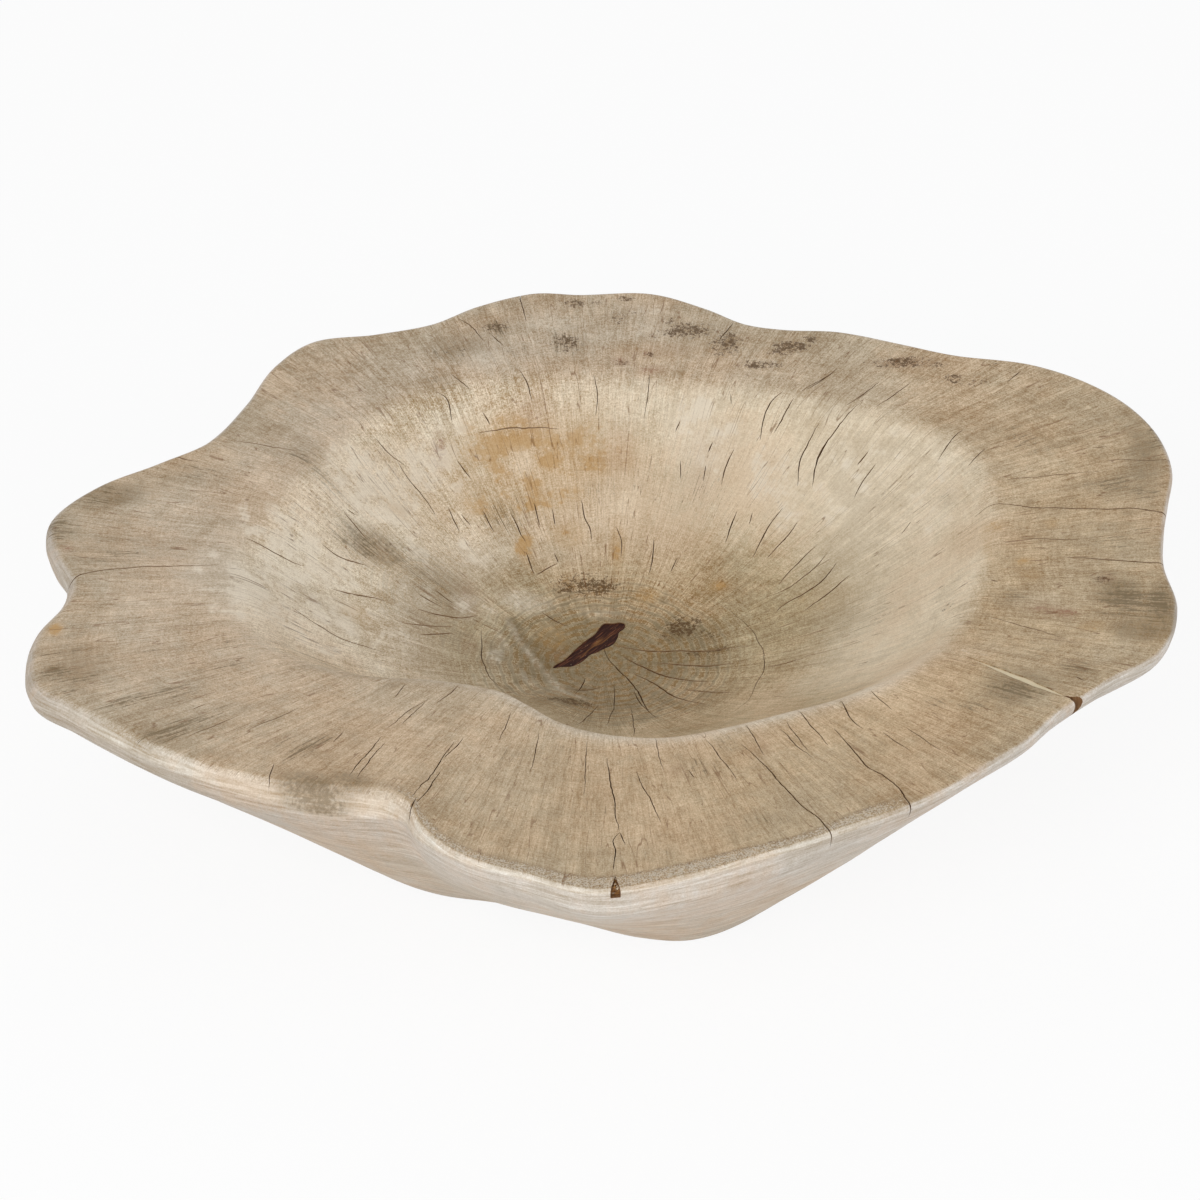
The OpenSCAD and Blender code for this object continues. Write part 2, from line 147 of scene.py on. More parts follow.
# Drying cracks, read off the photograph: width and depth in millimetres, whether it runs
# out over the edge, then the pixels that it passes, x and y in turn
CRACKS = [
    (0.75, 3.6, 1, 221, 564, 131.5, 567, 100, 570, 80, 574.5, 62.5, 583.5),
    (0.75, 2.4, 0, 242, 536, 267, 548, 288, 560, 304, 566),
    (0.75, 2.4, 0, 330, 589, 359, 594, 387, 602),
    (0.75, 2.4, 0, 320.5, 542.5, 343, 558, 368, 566),
    (0.6, 1.8, 0, 343, 510, 369, 542),
    (0.6, 3, 0, 347, 508.5, 356.5, 515.5),
    (0.6, 2.4, 0, 396, 460, 412.5, 483, 429, 504, 436, 516),
    (0.6, 1.8, 0, 374.5, 436.5, 387, 451.5, 405.5, 466),
    (0.5, 2.4, 0, 333, 743, 343, 731),
    (0.6, 3.6, 0, 349, 775, 366.7, 754.8, 381, 736),
    (0.55, 2.4, 0, 355, 778, 372, 757, 386, 742),
    (0.6, 3.6, 0, 413, 797, 421, 784, 430, 776.7, 455, 740),
    (0.6, 3.6, 0, 415, 803, 430, 789, 441, 770),
    (0.5, 1.8, 0, 395, 697.6, 406, 683.6),
    (0.55, 1.8, 0, 188, 736, 215, 725, 242, 714),
    (0.55, 1.8, 0, 192, 709, 206, 703),
    (0.5, 4.8, 1, 274, 762, 270.5, 775.5, 267, 788),
    (0.6, 6, 1, 416, 797, 411.5, 806, 406.5, 819),
    (0.6, 3.6, 1, 200, 461, 187, 459, 167, 453.5),
    (0.6, 2.4, 0, 232, 440, 261.5, 444, 300, 451),
    (0.75, 1.8, 0, 290, 606, 321, 626, 344, 639, 387, 651.7),
    (0.5, 1.8, 0, 387, 728, 407, 712, 430, 697),
    (0.55, 1.8, 0, 250, 728, 272, 719, 300, 707),
    (0.6, 3.6, 0, 456.8, 317, 470.8, 326, 484.8, 341),
    (0.5, 2.4, 1, 526.5, 322, 523, 309, 520, 289.5),
    (0.6, 2.4, 0, 490, 333.6, 504, 346),
    (0.45, 2.2, 0, 593, 373, 597, 395, 596, 418),
    (0.4, 1.8, 0, 649, 372, 647, 395, 644, 418),
    (0.55, 2.2, 0, 519, 368, 528, 382, 532, 402),
    (0.6, 2.2, 0, 435, 390, 447, 399, 452, 422),
    (0.6, 1.8, 0, 449, 372, 471, 390),
    (0.6, 2.2, 0, 481, 410, 491, 425),
    (0.55, 1.9, 0, 477, 434, 489, 430.5, 506.5, 429, 522, 427.5, 537, 426.7, 560, 427.5),
    (0.6, 2.2, 0, 455.5, 458.6, 472, 479),
    (0.6, 2.4, 0, 447.5, 505.5, 460, 532.5),
    (0.6, 1.8, 0, 460.5, 513, 471, 526),
    (0.6, 2.4, 0, 482, 509.6, 495, 532.6),
    (0.6, 3.6, 0, 509, 511, 516.7, 525, 521, 534, 525.7, 543),
    (0.6, 3, 0, 525.7, 550, 530, 562, 535.7, 574),
    (0.7, 2.4, 0, 535.7, 574, 549, 567, 559, 563),
    (0.6, 2.4, 0, 559, 563, 553.6, 552),
    (0.6, 2.6, 0, 534.6, 502, 541, 527.4),
    (0.55, 2.4, 0, 551, 507, 556, 526),
    (0.6, 3, 0, 580.5, 497, 584, 517, 590, 527, 592, 540),
    (0.45, 2.4, 0, 616, 525, 621, 540, 621, 558),
    (0.55, 3, 0, 654, 537, 653.6, 552, 648, 573),
    (0.55, 2.4, 0, 678, 556, 670, 573),
    (0.4, 2.2, 0, 680, 458.6, 681, 481.5),
    (0.45, 1.8, 0, 707, 464, 703, 482),
    (0.6, 2.2, 0, 713, 441, 707, 453.5),
    (0.55, 2.2, 0, 681, 419, 675, 433),
    (0.6, 4.2, 0, 783, 389.7, 770.6, 402.4, 764, 418, 760, 441),
    (0.6, 2.2, 0, 794.5, 397.5, 782, 417, 773.5, 434.5),
    (0.6, 3, 0, 821.6, 423, 807.6, 443, 800, 464, 797, 487),
    (0.6, 2.4, 0, 828, 439, 816.5, 464, 813, 487),
    (0.55, 2.2, 0, 736, 446, 726, 464, 721, 487),
    (0.6, 2.6, 0, 737, 510, 731, 527, 726, 543),
    (0.45, 1.8, 0, 752, 512, 749, 525),
    (0.6, 3, 0, 783, 506, 769, 525, 751.4, 559),
    (0.6, 2.4, 0, 798.6, 520, 787, 535, 766.7, 559),
    (0.6, 3, 0, 816.8, 544, 795, 566, 778.4, 585),
    (0.85, 3.4, 0, 838, 562, 819, 583, 789, 601.5, 775.6, 612.4),
    (0.85, 3, 0, 851, 573.8, 825.5, 594, 804, 611),
    (0.6, 2.6, 0, 830, 552, 811, 571, 786, 589, 766, 598),
    (0.6, 2.4, 0, 733.6, 322, 726, 332, 718, 341),
    (0.6, 2.4, 0, 830, 374.5, 814, 385, 805.5, 390),
    (0.4, 1.8, 0, 731, 392, 731, 405),
    (0.6, 2.4, 0, 838.5, 367.5, 817.5, 381.5, 800, 392),
    (0.6, 2.2, 0, 912, 381, 896.5, 393, 875.5, 407),
    (0.6, 2.4, 0, 879, 381, 862, 395, 846, 406),
    (0.6, 3, 0, 860.5, 402.5, 844.5, 417, 832, 435.5, 817.5, 458, 812.5, 485.5),
    (0.6, 1.8, 0, 869, 450, 856, 465),
    (0.55, 1.8, 0, 876, 463, 865, 480, 854, 499),
    (0.6, 2.6, 0, 963.5, 429, 950, 442, 937.5, 461.5),
    (0.6, 2.2, 0, 986, 448, 975.5, 457, 967, 466.5),
    (0.55, 1.8, 0, 911, 520, 901, 534),
    (0.6, 3, 0, 1020.7, 370, 1006.6, 382.5),
    (0.6, 4.8, 1, 1105.5, 460, 1131.5, 459.5, 1150.5, 459.5, 1175, 459),
    (0.6, 2.2, 0, 999, 480, 1021.5, 477.5, 1055, 474.5, 1101.5, 471),
    (0.85, 4.8, 1, 973.5, 518, 994, 504, 1029, 506, 1080.5, 508, 1130, 508.5, 1151.5, 510, 1169.5, 513.5),
    (0.7, 2.2, 0, 1019, 538, 1055, 539, 1080.6, 539),
    (0.85, 4.8, 1, 1064.5, 557, 1105.5, 558.5, 1133.5, 561.5, 1168.5, 562.5),
    (0.6, 1.8, 0, 1092, 447.6, 1108.7, 445.5),
    (0.85, 2.4, 0, 990, 579.5, 998, 581.5),
    (0.6, 1.8, 0, 987.5, 616, 1025, 626, 1068, 639),
    (0.8, 2.4, 0, 1075.5, 676, 1086, 681),
    (0.35, 2.4, 0, 710, 598.7, 724, 607, 737, 615, 747, 626, 756, 637, 764,
     653.5, 762.5, 670, 756, 684, 748, 700, 738, 708, 729, 714),
    (0.5, 2.4, 0, 480.9, 629, 482, 653.5, 485, 665, 490.5, 675.5, 496, 683, 502, 688, 508, 687.8),
    (0.8, 3.6, 0, 603, 648, 607, 655, 612.5, 662, 620, 671, 627.6, 678,
     634, 687, 641, 696, 644, 705.6, 651, 713, 657.7, 719),
    (1.15, 3.4, 0, 620.7, 656, 638.6, 664.5, 660.5, 674, 685, 679.6, 710, 681),
    (1.05, 2.9, 0, 633, 672.7, 655, 683.7, 677, 697, 707, 704),
    (1.15, 3.1, 0, 616.6, 645, 638.6, 649, 668.7, 651, 695, 650.5, 718, 649, 745.5, 645),
    (1.15, 2.6, 0, 655, 662, 685, 665, 710, 665, 737, 662),
    (0.85, 2.6, 0, 764.7, 667, 785, 663, 806, 657.7),
    (0.4, 2.6, 0, 631.7, 708, 634, 722, 633, 736),
    (0.4, 2.4, 0, 613.9, 683.7, 615, 705.6, 611, 716, 607, 725),
    (0.5, 2.2, 0, 600, 704, 588, 716, 575.5, 725),
    (0.9, 2.6, 0, 566, 688, 582, 690, 603, 686.5),
    (0.8, 2.6, 0, 540, 612, 556, 620, 570, 626),
    (0.55, 2.4, 0, 586, 677, 582, 685, 575, 695),
    (0.85, 2.6, 0, 416.5, 608, 446.6, 616.5, 464, 617, 479.5, 615),
    (0.65, 1.9, 0, 416.5, 593, 441, 605.6),
    (0.65, 1.9, 0, 433, 587.7, 455, 604),
    (0.85, 2.6, 0, 419, 634, 436, 634, 455, 632.4),
    (0.65, 1.9, 0, 400, 623, 430, 625, 455, 626),
    (0.65, 2.2, 0, 553, 667, 560, 664, 568, 660),
    (0.55, 2.4, 0, 459, 685, 450.5, 692, 436, 703.5),
    (0.55, 2.2, 0, 444, 758, 454, 748, 464.4, 737),
    (0.5, 1.8, 0, 427, 701, 400, 724),
    (0.5, 2.4, 0, 786.5, 720, 793.5, 731, 809, 752),
    (0.6, 2.4, 0, 780, 728, 795, 742, 813, 758.6),
    (0.5, 2.4, 0, 744.5, 724, 755.5, 740, 764.5, 755.5),
    (0.6, 3, 0, 796, 710.5, 813.5, 727, 829, 745.5),
    (0.65, 3.6, 0, 839, 700, 853, 720, 864, 729.5),
    (0.75, 4.8, 1, 833.5, 727.5, 849, 744.5, 867, 765.5, 884, 775.5, 900, 788.5, 905, 796.5, 912, 807),
    (0.7, 4.8, 1, 740, 743, 756.5, 757, 780.5, 782, 800, 803.5, 817.5, 817, 833.5, 835.5),
    (0.55, 2.2, 0, 870, 690, 892, 710),
    (0.6, 2.2, 0, 882, 730.6, 896, 741, 910, 749.7),
    (0.55, 1.8, 0, 905, 727, 925, 740, 943, 749.7),
    (0.35, 1.8, 0, 586, 740, 585.5, 778, 584, 796),
    (0.6, 6, 0, 607, 757, 609, 772, 612, 786, 614.8, 804, 616, 819, 618.7, 832),
    (0.55, 4.8, 0, 618.7, 832, 614.4, 840, 614.8, 851, 613.8, 864, 613.6, 870),
    (0.55, 3.6, 0, 618.7, 832, 621.5, 836, 625.5, 845),
    (0.55, 3, 0, 635, 770.6, 641.6, 782, 649, 796, 655.7, 811, 660.8, 823),
    (0.55, 2.4, 0, 705.5, 738.5, 722.5, 759, 737.5, 780),
    (0.5, 1.9, 0, 688.8, 769, 695, 778),
    (0.4, 1.8, 0, 511.5, 711, 507, 722, 498.5, 740.5),
    (0.4, 1.8, 0, 539, 731.5, 536.5, 746, 530, 772.5),
    (0.4, 1.8, 0, 655, 738, 659.5, 757.5, 664, 770.5),
    (0.95, 2.4, 0, 684, 689, 711, 691.5, 737.5, 691.5),
    (0.6, 2.4, 0, 633, 690, 642.5, 706, 652.5, 710.5),
]

# Stains read off the photograph, as soft ovals: x, y, half length and half width in its
# pixels, whether the oval lies along its ray from the heart, strength
SEEN_STAINS = {
    "grey": [
        (56, 529, 22, 14, 1, 0.8), (89, 500, 24, 7, 1, 0.8), (112, 492, 22, 7, 1, 0.6),
        (114, 555, 50, 9, 1, 0.55), (140, 545, 50, 9, 1, 0.4), (203, 473, 30, 9, 0, 0.55),
        (307, 458, 24, 12, 0, 0.5), (323, 477, 22, 7, 1, 0.7), (359, 542, 30, 14, 0, 0.75),
        (393, 553, 26, 12, 0, 0.55), (425, 576, 34, 20, 0, 0.5), (441, 593, 26, 18, 0, 0.45),
        (73, 630, 24, 8, 1, 0.45), (58, 671, 22, 7, 1, 1), (80, 677, 20, 6, 1, 0.8),
        (63, 652, 30, 8, 1, 0.55), (70, 690, 24, 6, 1, 0.5), (142, 654, 40, 7, 1, 0.35),
        (229, 664, 34, 7, 1, 0.5), (242, 641, 34, 8, 1, 0.4), (152, 695, 46, 7, 1, 0.7),
        (120, 705, 30, 6, 1, 0.5), (180, 697, 24, 6, 1, 0.55), (173, 731, 32, 10, 1, 0.85),
        (205, 717, 34, 7, 1, 0.65), (150, 738, 22, 6, 1, 0.5), (285, 742, 20, 5, 1, 0.55),
        (308, 746, 26, 6, 1, 0.85), (250, 705, 26, 5, 1, 0.35), (349, 746, 26, 8, 1, 0.3),
        (322, 662, 24, 4, 0, 0.6), (392, 685, 16, 4, 1, 0.5), (281, 643, 20, 6, 1, 0.4),
        (285, 675, 24, 6, 1, 0.45), (300, 590, 20, 8, 0, 0.2), (448, 354, 32, 12, 0, 0.5),
        (440, 382, 18, 10, 0, 0.5), (524, 351, 14, 8, 0, 0.45), (568, 341, 20, 13, 0, 0.75),
        (496, 328, 13, 8, 0, 0.9), (595, 350, 20, 8, 0, 0.25), (501, 515, 26, 11, 0, 0.6),
        (522, 505, 22, 8, 0, 0.5), (695, 489, 34, 20, 0, 0.4), (647, 482, 26, 12, 0, 0.25),
        (603, 489, 30, 10, 0, 0.3), (560, 500, 26, 10, 0, 0.3), (994, 425, 34, 16, 0, 0.35),
        (1022, 440, 22, 12, 0, 0.45), (1055, 446, 34, 6, 1, 0.4), (1155, 432, 9, 18, 0, 0.75),
        (1131, 422, 18, 12, 0, 0.4), (1116, 483, 28, 8, 1, 0.75), (1146, 491, 18, 10, 0, 0.6),
        (1086, 486, 16, 8, 0, 0.45), (1116, 539, 26, 11, 0, 0.55), (1146, 534, 16, 10, 0, 0.5),
        (1019, 532, 20, 6, 0, 0.5), (1009, 596, 17, 8, 0, 0.7), (1104, 578, 14, 7, 0, 0.7),
        (1128, 600, 28, 16, 0, 0.8), (1160, 600, 12, 18, 0, 1), (1154, 626, 16, 9, 0, 0.6),
        (1080, 668, 18, 8, 0, 0.65), (1035, 652, 14, 6, 0, 0.5), (1017, 690, 26, 12, 0, 0.8),
        (996, 672, 13, 7, 0, 0.6), (976, 705, 17, 7, 0, 0.6), (938, 703, 15, 7, 0, 0.45),
        (1058, 700, 10, 6, 0, 0.4), (1050, 640, 30, 10, 0, 0.3), (948, 496, 9, 7, 0, 0.45),
        (860, 622, 44, 34, 0, 0.35), (905, 590, 30, 24, 0, 0.2), (677, 629, 22, 12, 0, 0.85),
        (697, 632, 20, 12, 0, 0.6), (704, 662, 24, 9, 0, 0.45), (515, 637, 20, 22, 0, 0.45),
        (543, 664, 16, 12, 0, 0.3), (562, 700, 28, 7, 0, 0.75), (597, 676, 9, 7, 0, 0.55),
        (581, 688, 15, 4, 0, 0.5), (460, 642, 18, 12, 0, 0.5), (700, 700, 44, 18, 0, 0.4),
        (640, 715, 40, 14, 0, 0.35), (530, 610, 20, 10, 0, 0.25), (726, 741, 10, 7, 0, 0.6),
        (562, 748, 10, 4, 0, 0.5), (512, 755, 14, 6, 0, 0.45), (700, 768, 17, 10, 0, 0.55),
        (727, 748, 10, 8, 0, 0.5), (736, 819, 12, 6, 0, 0.4), (602, 804, 18, 12, 0, 0.35),
        (765, 820, 24, 7, 0, 0.5), (560, 820, 30, 10, 0, 0.3), (655, 850, 34, 10, 0, 0.3),
        (470, 800, 20, 10, 0, 0.25), (850, 760, 24, 12, 0, 0.25), (805, 800, 24, 8, 0, 0.35),
    ],
    "spalt": [
        (577, 304, 13, 4, 0, 1), (596, 303, 8, 3, 0, 0.7), (560, 301, 6, 3, 0, 0.6),
        (626, 298, 8, 3, 0, 0.8), (619, 318, 10, 10, 0, 0.7), (632, 312, 8, 8, 0, 0.5),
        (690, 330, 28, 8, 0, 1), (669, 322, 14, 6, 0, 0.6), (649, 335, 7, 3, 0, 0.7),
        (727, 343, 18, 13, 0, 1), (715, 352, 14, 6, 0, 0.7), (760, 364, 24, 5, 0, 0.9),
        (790, 346, 24, 7, 0, 1), (812, 339, 7, 5, 0, 1), (776, 352, 12, 6, 0, 0.8),
        (546, 340, 8, 6, 0, 0.4), (496, 327, 15, 7, 0, 0.85), (517, 351, 11, 6, 0, 0.5),
        (629, 298.5, 8, 2, 0, 0.8), (620.5, 362, 10, 3, 0, 0.9), (649, 355, 10, 3, 0, 0.8),
        (902, 362, 34, 6, 0, 0.9), (930, 364, 16, 6, 0, 0.7), (955, 379, 18, 7, 0, 0.7),
        (977, 381, 16, 6, 0, 0.6), (994, 364, 9, 4, 0, 0.6), (586, 587.5, 34, 10, 0, 0.9),
        (570, 581, 16, 6, 0, 0.5), (620, 590, 18, 8, 0, 0.55), (718, 649, 12, 4, 0, 0.9),
        (681, 627, 23, 10, 0, 0.95), (707, 635, 15, 9, 0, 0.7), (704, 652, 34, 4.5, 0, 0.5),
        (569, 700.5, 29, 6, 0, 0.8), (945, 608, 9, 4, 0, 0.5), (567, 344, 15, 10, 0, 0.85),
        (1104, 578, 8, 4, 0, 0.7), (1032, 575, 8, 7, 0, 0.35), (455, 352, 18, 7, 0, 0.4),
        (600, 600, 30, 8, 0, 0.4),
    ],
    "ochre": [
        (489, 452, 34, 15, 0, 0.95), (514, 437.5, 31, 10, 0, 0.9), (557.5, 454, 33, 15, 0, 0.85),
        (584.5, 446, 31, 15, 0, 0.95), (526.5, 489, 50, 13.5, 0, 0.6), (625, 447, 20, 13, 0, 0.35),
        (481, 497, 26, 11, 0, 0.55), (524, 546, 8, 9, 0, 1), (568, 535, 16, 7, 0, 0.65),
        (617, 549, 5, 14, 0, 0.6), (540, 478, 30, 10, 0, 0.4), (455, 470, 16, 10, 0, 0.45),
        (455, 447, 18, 8, 0, 0.4), (660, 352, 40, 9, 0, 0.25), (553, 637, 14, 10, 0, 0.5),
        (647, 596, 9, 4, 0, 0.9), (718, 586, 8, 3, 0, 0.8), (397, 509, 12, 5, 0, 0.7),
        (988, 547, 4, 24, 0, 0.5), (995, 525, 9, 6, 0, 0.5), (1093, 626, 14, 4, 0, 0.5),
        (1033, 575, 7, 6, 0, 0.5), (1022, 562, 9, 4, 0, 0.4), (53, 630, 7, 5, 0, 0.7),
        (356, 613, 13, 7, 0, 0.75), (279, 589, 8, 4, 0, 0.5), (404, 454.5, 30, 20, 0, 0.2),
        (1050, 523, 6, 4, 0, 0.5), (820, 600, 30, 14, 0, 0.2), (1154, 626, 20, 12, 0, 0.35),
        (419.5, 503, 30, 12, 0, 0.25),
    ],
    "rust": [
        (439, 451, 6, 10, 0, 0.9), (436, 462, 6, 6, 0, 0.5), (621, 361, 7, 3, 0, 0.9),
        (648, 354, 5, 3, 0, 0.9), (652, 369, 11, 3, 0, 0.7), (532, 410, 18, 10, 0, 0.35),
        (700, 470, 8, 16, 0, 0.25), (1062, 611, 14, 4, 1, 1), (1044, 608, 14, 3, 1, 0.6),
        (1106, 578, 7, 3, 0, 0.7), (560, 654, 9, 6, 0, 0.35), (470, 645, 12, 9, 0, 0.3),
        (468, 596, 10, 12, 0, 0.35), (66, 548, 5, 3, 0, 0.6), (660, 350, 34, 7, 0, 0.3),
        (677, 769, 10, 7, 0, 0.3), (760, 745, 14, 12, 0, 0.3), (620, 450, 18, 14, 0, 0.3),
        (905, 362, 30, 4, 0, 0.4), (1065, 640, 14, 3, 1, 0.3), (740, 590, 26, 14, 0, 0.2),
    ],
    # Pale bloom, and painted highlights where the lamps glint on the back right wall and on the worn
    # front-left edge
    "bloom_and_highlight": [
        (695, 411, 26, 9, 0, 1), (723, 430, 28, 5, 0, 0.9), (745, 437, 18, 5, 0, 0.7),
        (700, 464, 22, 14, 0, 0.5), (789, 492, 22, 18, 0, 0.9), (764, 474, 20, 14, 0, 0.75),
        (455, 431, 18, 7, 0, 0.7), (522, 457, 12, 6, 0, 0.5), (520, 470, 14, 5, 0, 0.4),
        (466, 610, 9, 7, 0, 0.9), (416, 551.5, 28, 13, 0, 0.6), (522, 602, 18, 9, 0, 0.7),
        (463, 553.5, 28, 9, 0, 0.7), (490, 612, 12, 8, 0, 0.5), (647, 311, 26, 9, 0, 0.4),
        (405, 600, 10, 12, 0, 0.3), (860, 470, 60, 36, 0, 0.4), (930, 500, 34, 40, 0, 0.4),
        (820, 520, 34, 30, 0, 0.3), (270, 610, 24, 30, 0, 0.45), (310, 640, 34, 12, 0, 0.5),
        (350, 655, 30, 9, 0, 0.5), (335, 516, 24, 12, 0, 0.4), (399, 494.5, 24, 12, 0, 0.45),
        (590, 420, 60, 14, 0, 0.35), (470, 420, 22, 12, 0, 0.3), (560, 556, 30, 8, 0, 0.3),
        (470, 560, 20, 12, 0, 0.3), (640, 385, 60, 6, 0, 0.2), (1040, 600, 22, 8, 0, 0.2),
        (495, 655, 12, 20, 0, 0.35), (800, 690, 30, 10, 0, 0.2), (160, 600, 50, 14, 0, 0.2),
        (560, 690, 10, 5, 0, 0.3), (382, 791, 14, 5, 0, 0.8), (965, 650, 40, 8, 0, 0.25),
    ],
}

# Stains listed in millimetres: x, y, half length, half width, turn in degrees, strength
ADDED_STAINS = {
    "smudge": [
        (-147, -188, 15, 9, -25, 1.1), (-130, -182, 9, 6, -25, 0.8), (-130, 70, 13, 9, 0, 0.6),
        (262, -22, 8, 9, 0, 0.9), (282, -42, 7, 16, 0, 0.8), (270, -56, 12, 9, 0, 0.6),
        (204, -102, 16, 12, 0, 0.6), (286, 102, 8, 26, 0, 0.5), (-80, 214, 16, 10, 0, 0.3),
        (-264, 68, 16, 8, 0, 0.4), (-264, 60, 10, 4, 0, 0.4), (-272, -86, 14, 14, 0, 0.3),
        (-52, 41, 9, 3, -65, 0.6), (-64, 23, 9, 3, -62, 0.5),
    ],
    "chalk": [
        (-49, 64, 12, 6, 0, 1), (-5, 59, 12, 3, 0, 0.35), (-54, 40, 10, 1.5, -69, 0.8),
        (-44, 20, 12, 1.5, -61, 0.8), (-32, -2, 12, 1.5, -63, 0.8), (-21, -16, 7, 1.5, -29, 0.7),
        (-60, 32, 10, 1.2, -66, 0.6), (-46, 0, 12, 1.2, -58, 0.6), (-113, 53, 8, 1.5, 73, 0.9),
        (-115, 36, 8, 1.5, 87, 0.9), (-124, 52, 10, 1.2, 80, 0.7), (-101, 50, 9, 1.2, 75, 0.7),
        (-80, 57, 7, 3, 20, 1), (-172, 2, 24, 30, 0, 0.7), (-153, 86, 20, 12, 20, 0.8),
        (-74, 200, 10, 8, 0, 0.8), (-35, 238, 14, 8, 0, 0.9), (20, 230, 10, 8, 0, 0.8),
        (-6, 224, 12, 7, 0, 0.7), (50, 152, 18, 8, -20, 0.7),
    ],
    "bloom_and_highlight": [
        (-165, 44, 34, 26, 0, 0.9), (-128, 106, 30, 22, 40, 0.9), (-190, -6, 28, 30, 0, 0.9),
        (-100, 134, 26, 18, 30, 0.8), (-140, 12, 30, 20, 0, 0.85),
    ],
}
STAIN_KINDS = ("grey", "smudge", "chalk", "spalt", "ochre", "rust", "bloom_and_highlight")

# A branch started here: place, and how far its own growth rings reach
SECOND_HEART = (-98, 49)
SECOND_HEART_REACH = 34

# Dark line beside the worn front edge: bearing, and millimetres from the edge
ARRIS_LINE = [
    (180, 6), (250, 4), (262, 6), (271, 8.5), (284, 7), (292, 3.5), (300, 6.5), (306, 6),
]

# Bearings at which a zone starts, is full, is last full, and ends
LIP_FACES_BACK = (205, 240, 310, 345)
ARRIS_IS_DIRTY = (248, 262, 299, 306)
ARRIS_IS_WORN = (236, 250, 300, 308)
# Painted highlight, partly wear, on the rounding of the front edge
EDGE_HAS_PAINTED_HIGHLIGHT = (203, 214, 296, 304)

# Seeds of the random draws
CRACK_SEED = 7
CRUMB_SEED = 11
# Crumbs that lie loose in the front split
CRUMBS = 34

# Edges sharper than these angles stay sharp, in degrees
WOOD_CREASE = 38
FILLING_CREASE = 45
CRUMB_CREASE = 50

# Rows of the block's mesh in each part of its section, and columns round the heart
COLUMNS = 520
HOLLOW_ROWS = 60
RIM_ROWS = 42
ROUNDING_ROWS = 9
BAND_ROWS = 2
CORNER_ROWS = 6
FLANK_ROWS = 26
FOOT_ROWS = 7
UNDER_ROWS = 10


def linear(hex_text):
    """Linear colour of an sRGB hex value."""
    values = [int(hex_text[i:i + 2], 16) / 255 for i in (1, 3, 5)]
    return [v / 12.92 if v <= 0.04045 else ((v + 0.055) / 1.055) ** 2.4 for v in values]


def length(name, description, default):
    """A length that a user can change."""
    return bpy.props.FloatProperty(
        name=name, description=description, default=default, min=0, unit="LENGTH",
        subtype="DISTANCE", precision=4,
    )


def colour(name, description, hex_text):
    """A colour that a user can change."""
    return bpy.props.FloatVectorProperty(
        name=name, description=description, default=linear(hex_text), min=0, max=1,
        subtype="COLOR",
    )


class BowlSizes(bpy.types.PropertyGroup):
    """Sizes of the bowl."""

    width: length("Width", "Overall width from left to right", BODY_HIGH.x - BODY_LOW.x)
    height: length("Height", "Height of the outer part of the rim", BODY_HIGH.z - BODY_LOW.z)
    foot_width: length("Foot width", "Mean width of the flat underside", 0.31)
    foot_radius: length("Foot radius", "Rounding between the flank and the underside", 0.012)
    rim_fall: length("Rim fall", "How much lower the rim would lie at the heart", 0.022)
    edge_radius: length("Edge radius", "Mean rounding of the top of the outer edge", 0.008)
    edge_height: length("Edge height", "Mean height of the upright outer edge", 0.01)
    edge_lean: length("Edge lean", "How far the upright edge leans inwards", 0.0015)
    flank_swell: length("Flank swell", "Greatest swell of the flank", 0.005)
    hollow_width: length("Hollow width", "Mean width of the hollow at its lip", 0.35)
    floor_thickness: length("Floor", "Wood under the lowest point of the hollow", 0.042)
    lip_blend: length("Lip blend", "Greatest height over which wall and rim flow together", 0.012)
    heart_void_length: length("Heart void length", "Length of the filled void", 0.054)
    heart_void_width: length("Heart void width", "Greatest width of the filled void", 0.015)
    heart_void_depth: length("Heart void depth", "Depth of the filled void", 0.012)
    heart_void_gap: length("Heart void gap", "From the lowest point to the void", 0.0175)
    notch_width: length("Notch width", "Width of the open notch at the edge", 0.006)
    notch_length: length("Notch length", "How far the notch reaches in", 0.008)
    notch_depth: length("Notch depth", "Depth of the notch below the rim", 0.017)
    split_length: length("Split length", "Length of the puttied split", 0.06)
    split_width: length("Split width", "Greatest width of the puttied split", 0.004)
    split_depth: length("Split depth", "Depth of the puttied split", 0.012)
    split_gap: length("Split gap", "Wood between the notch and the putty", 0.001)
    front_width: length("Front split width", "Width of the front split at the edge", 0.005)
    front_length: length("Front split length", "How far the front split reaches in", 0.012)
    front_depth: length("Front split depth", "Depth of the front split", 0.005)
    front_set_back: length("Crumbs set back", "From the outer edge to the crumbs", 0.003)
    fill_recess: length("Filling recess", "How far fillings lie below the wood", 0.0005)
    worked_depth: length("Hand work", "Greatest hollow left by the hand sanding", 0.0005)


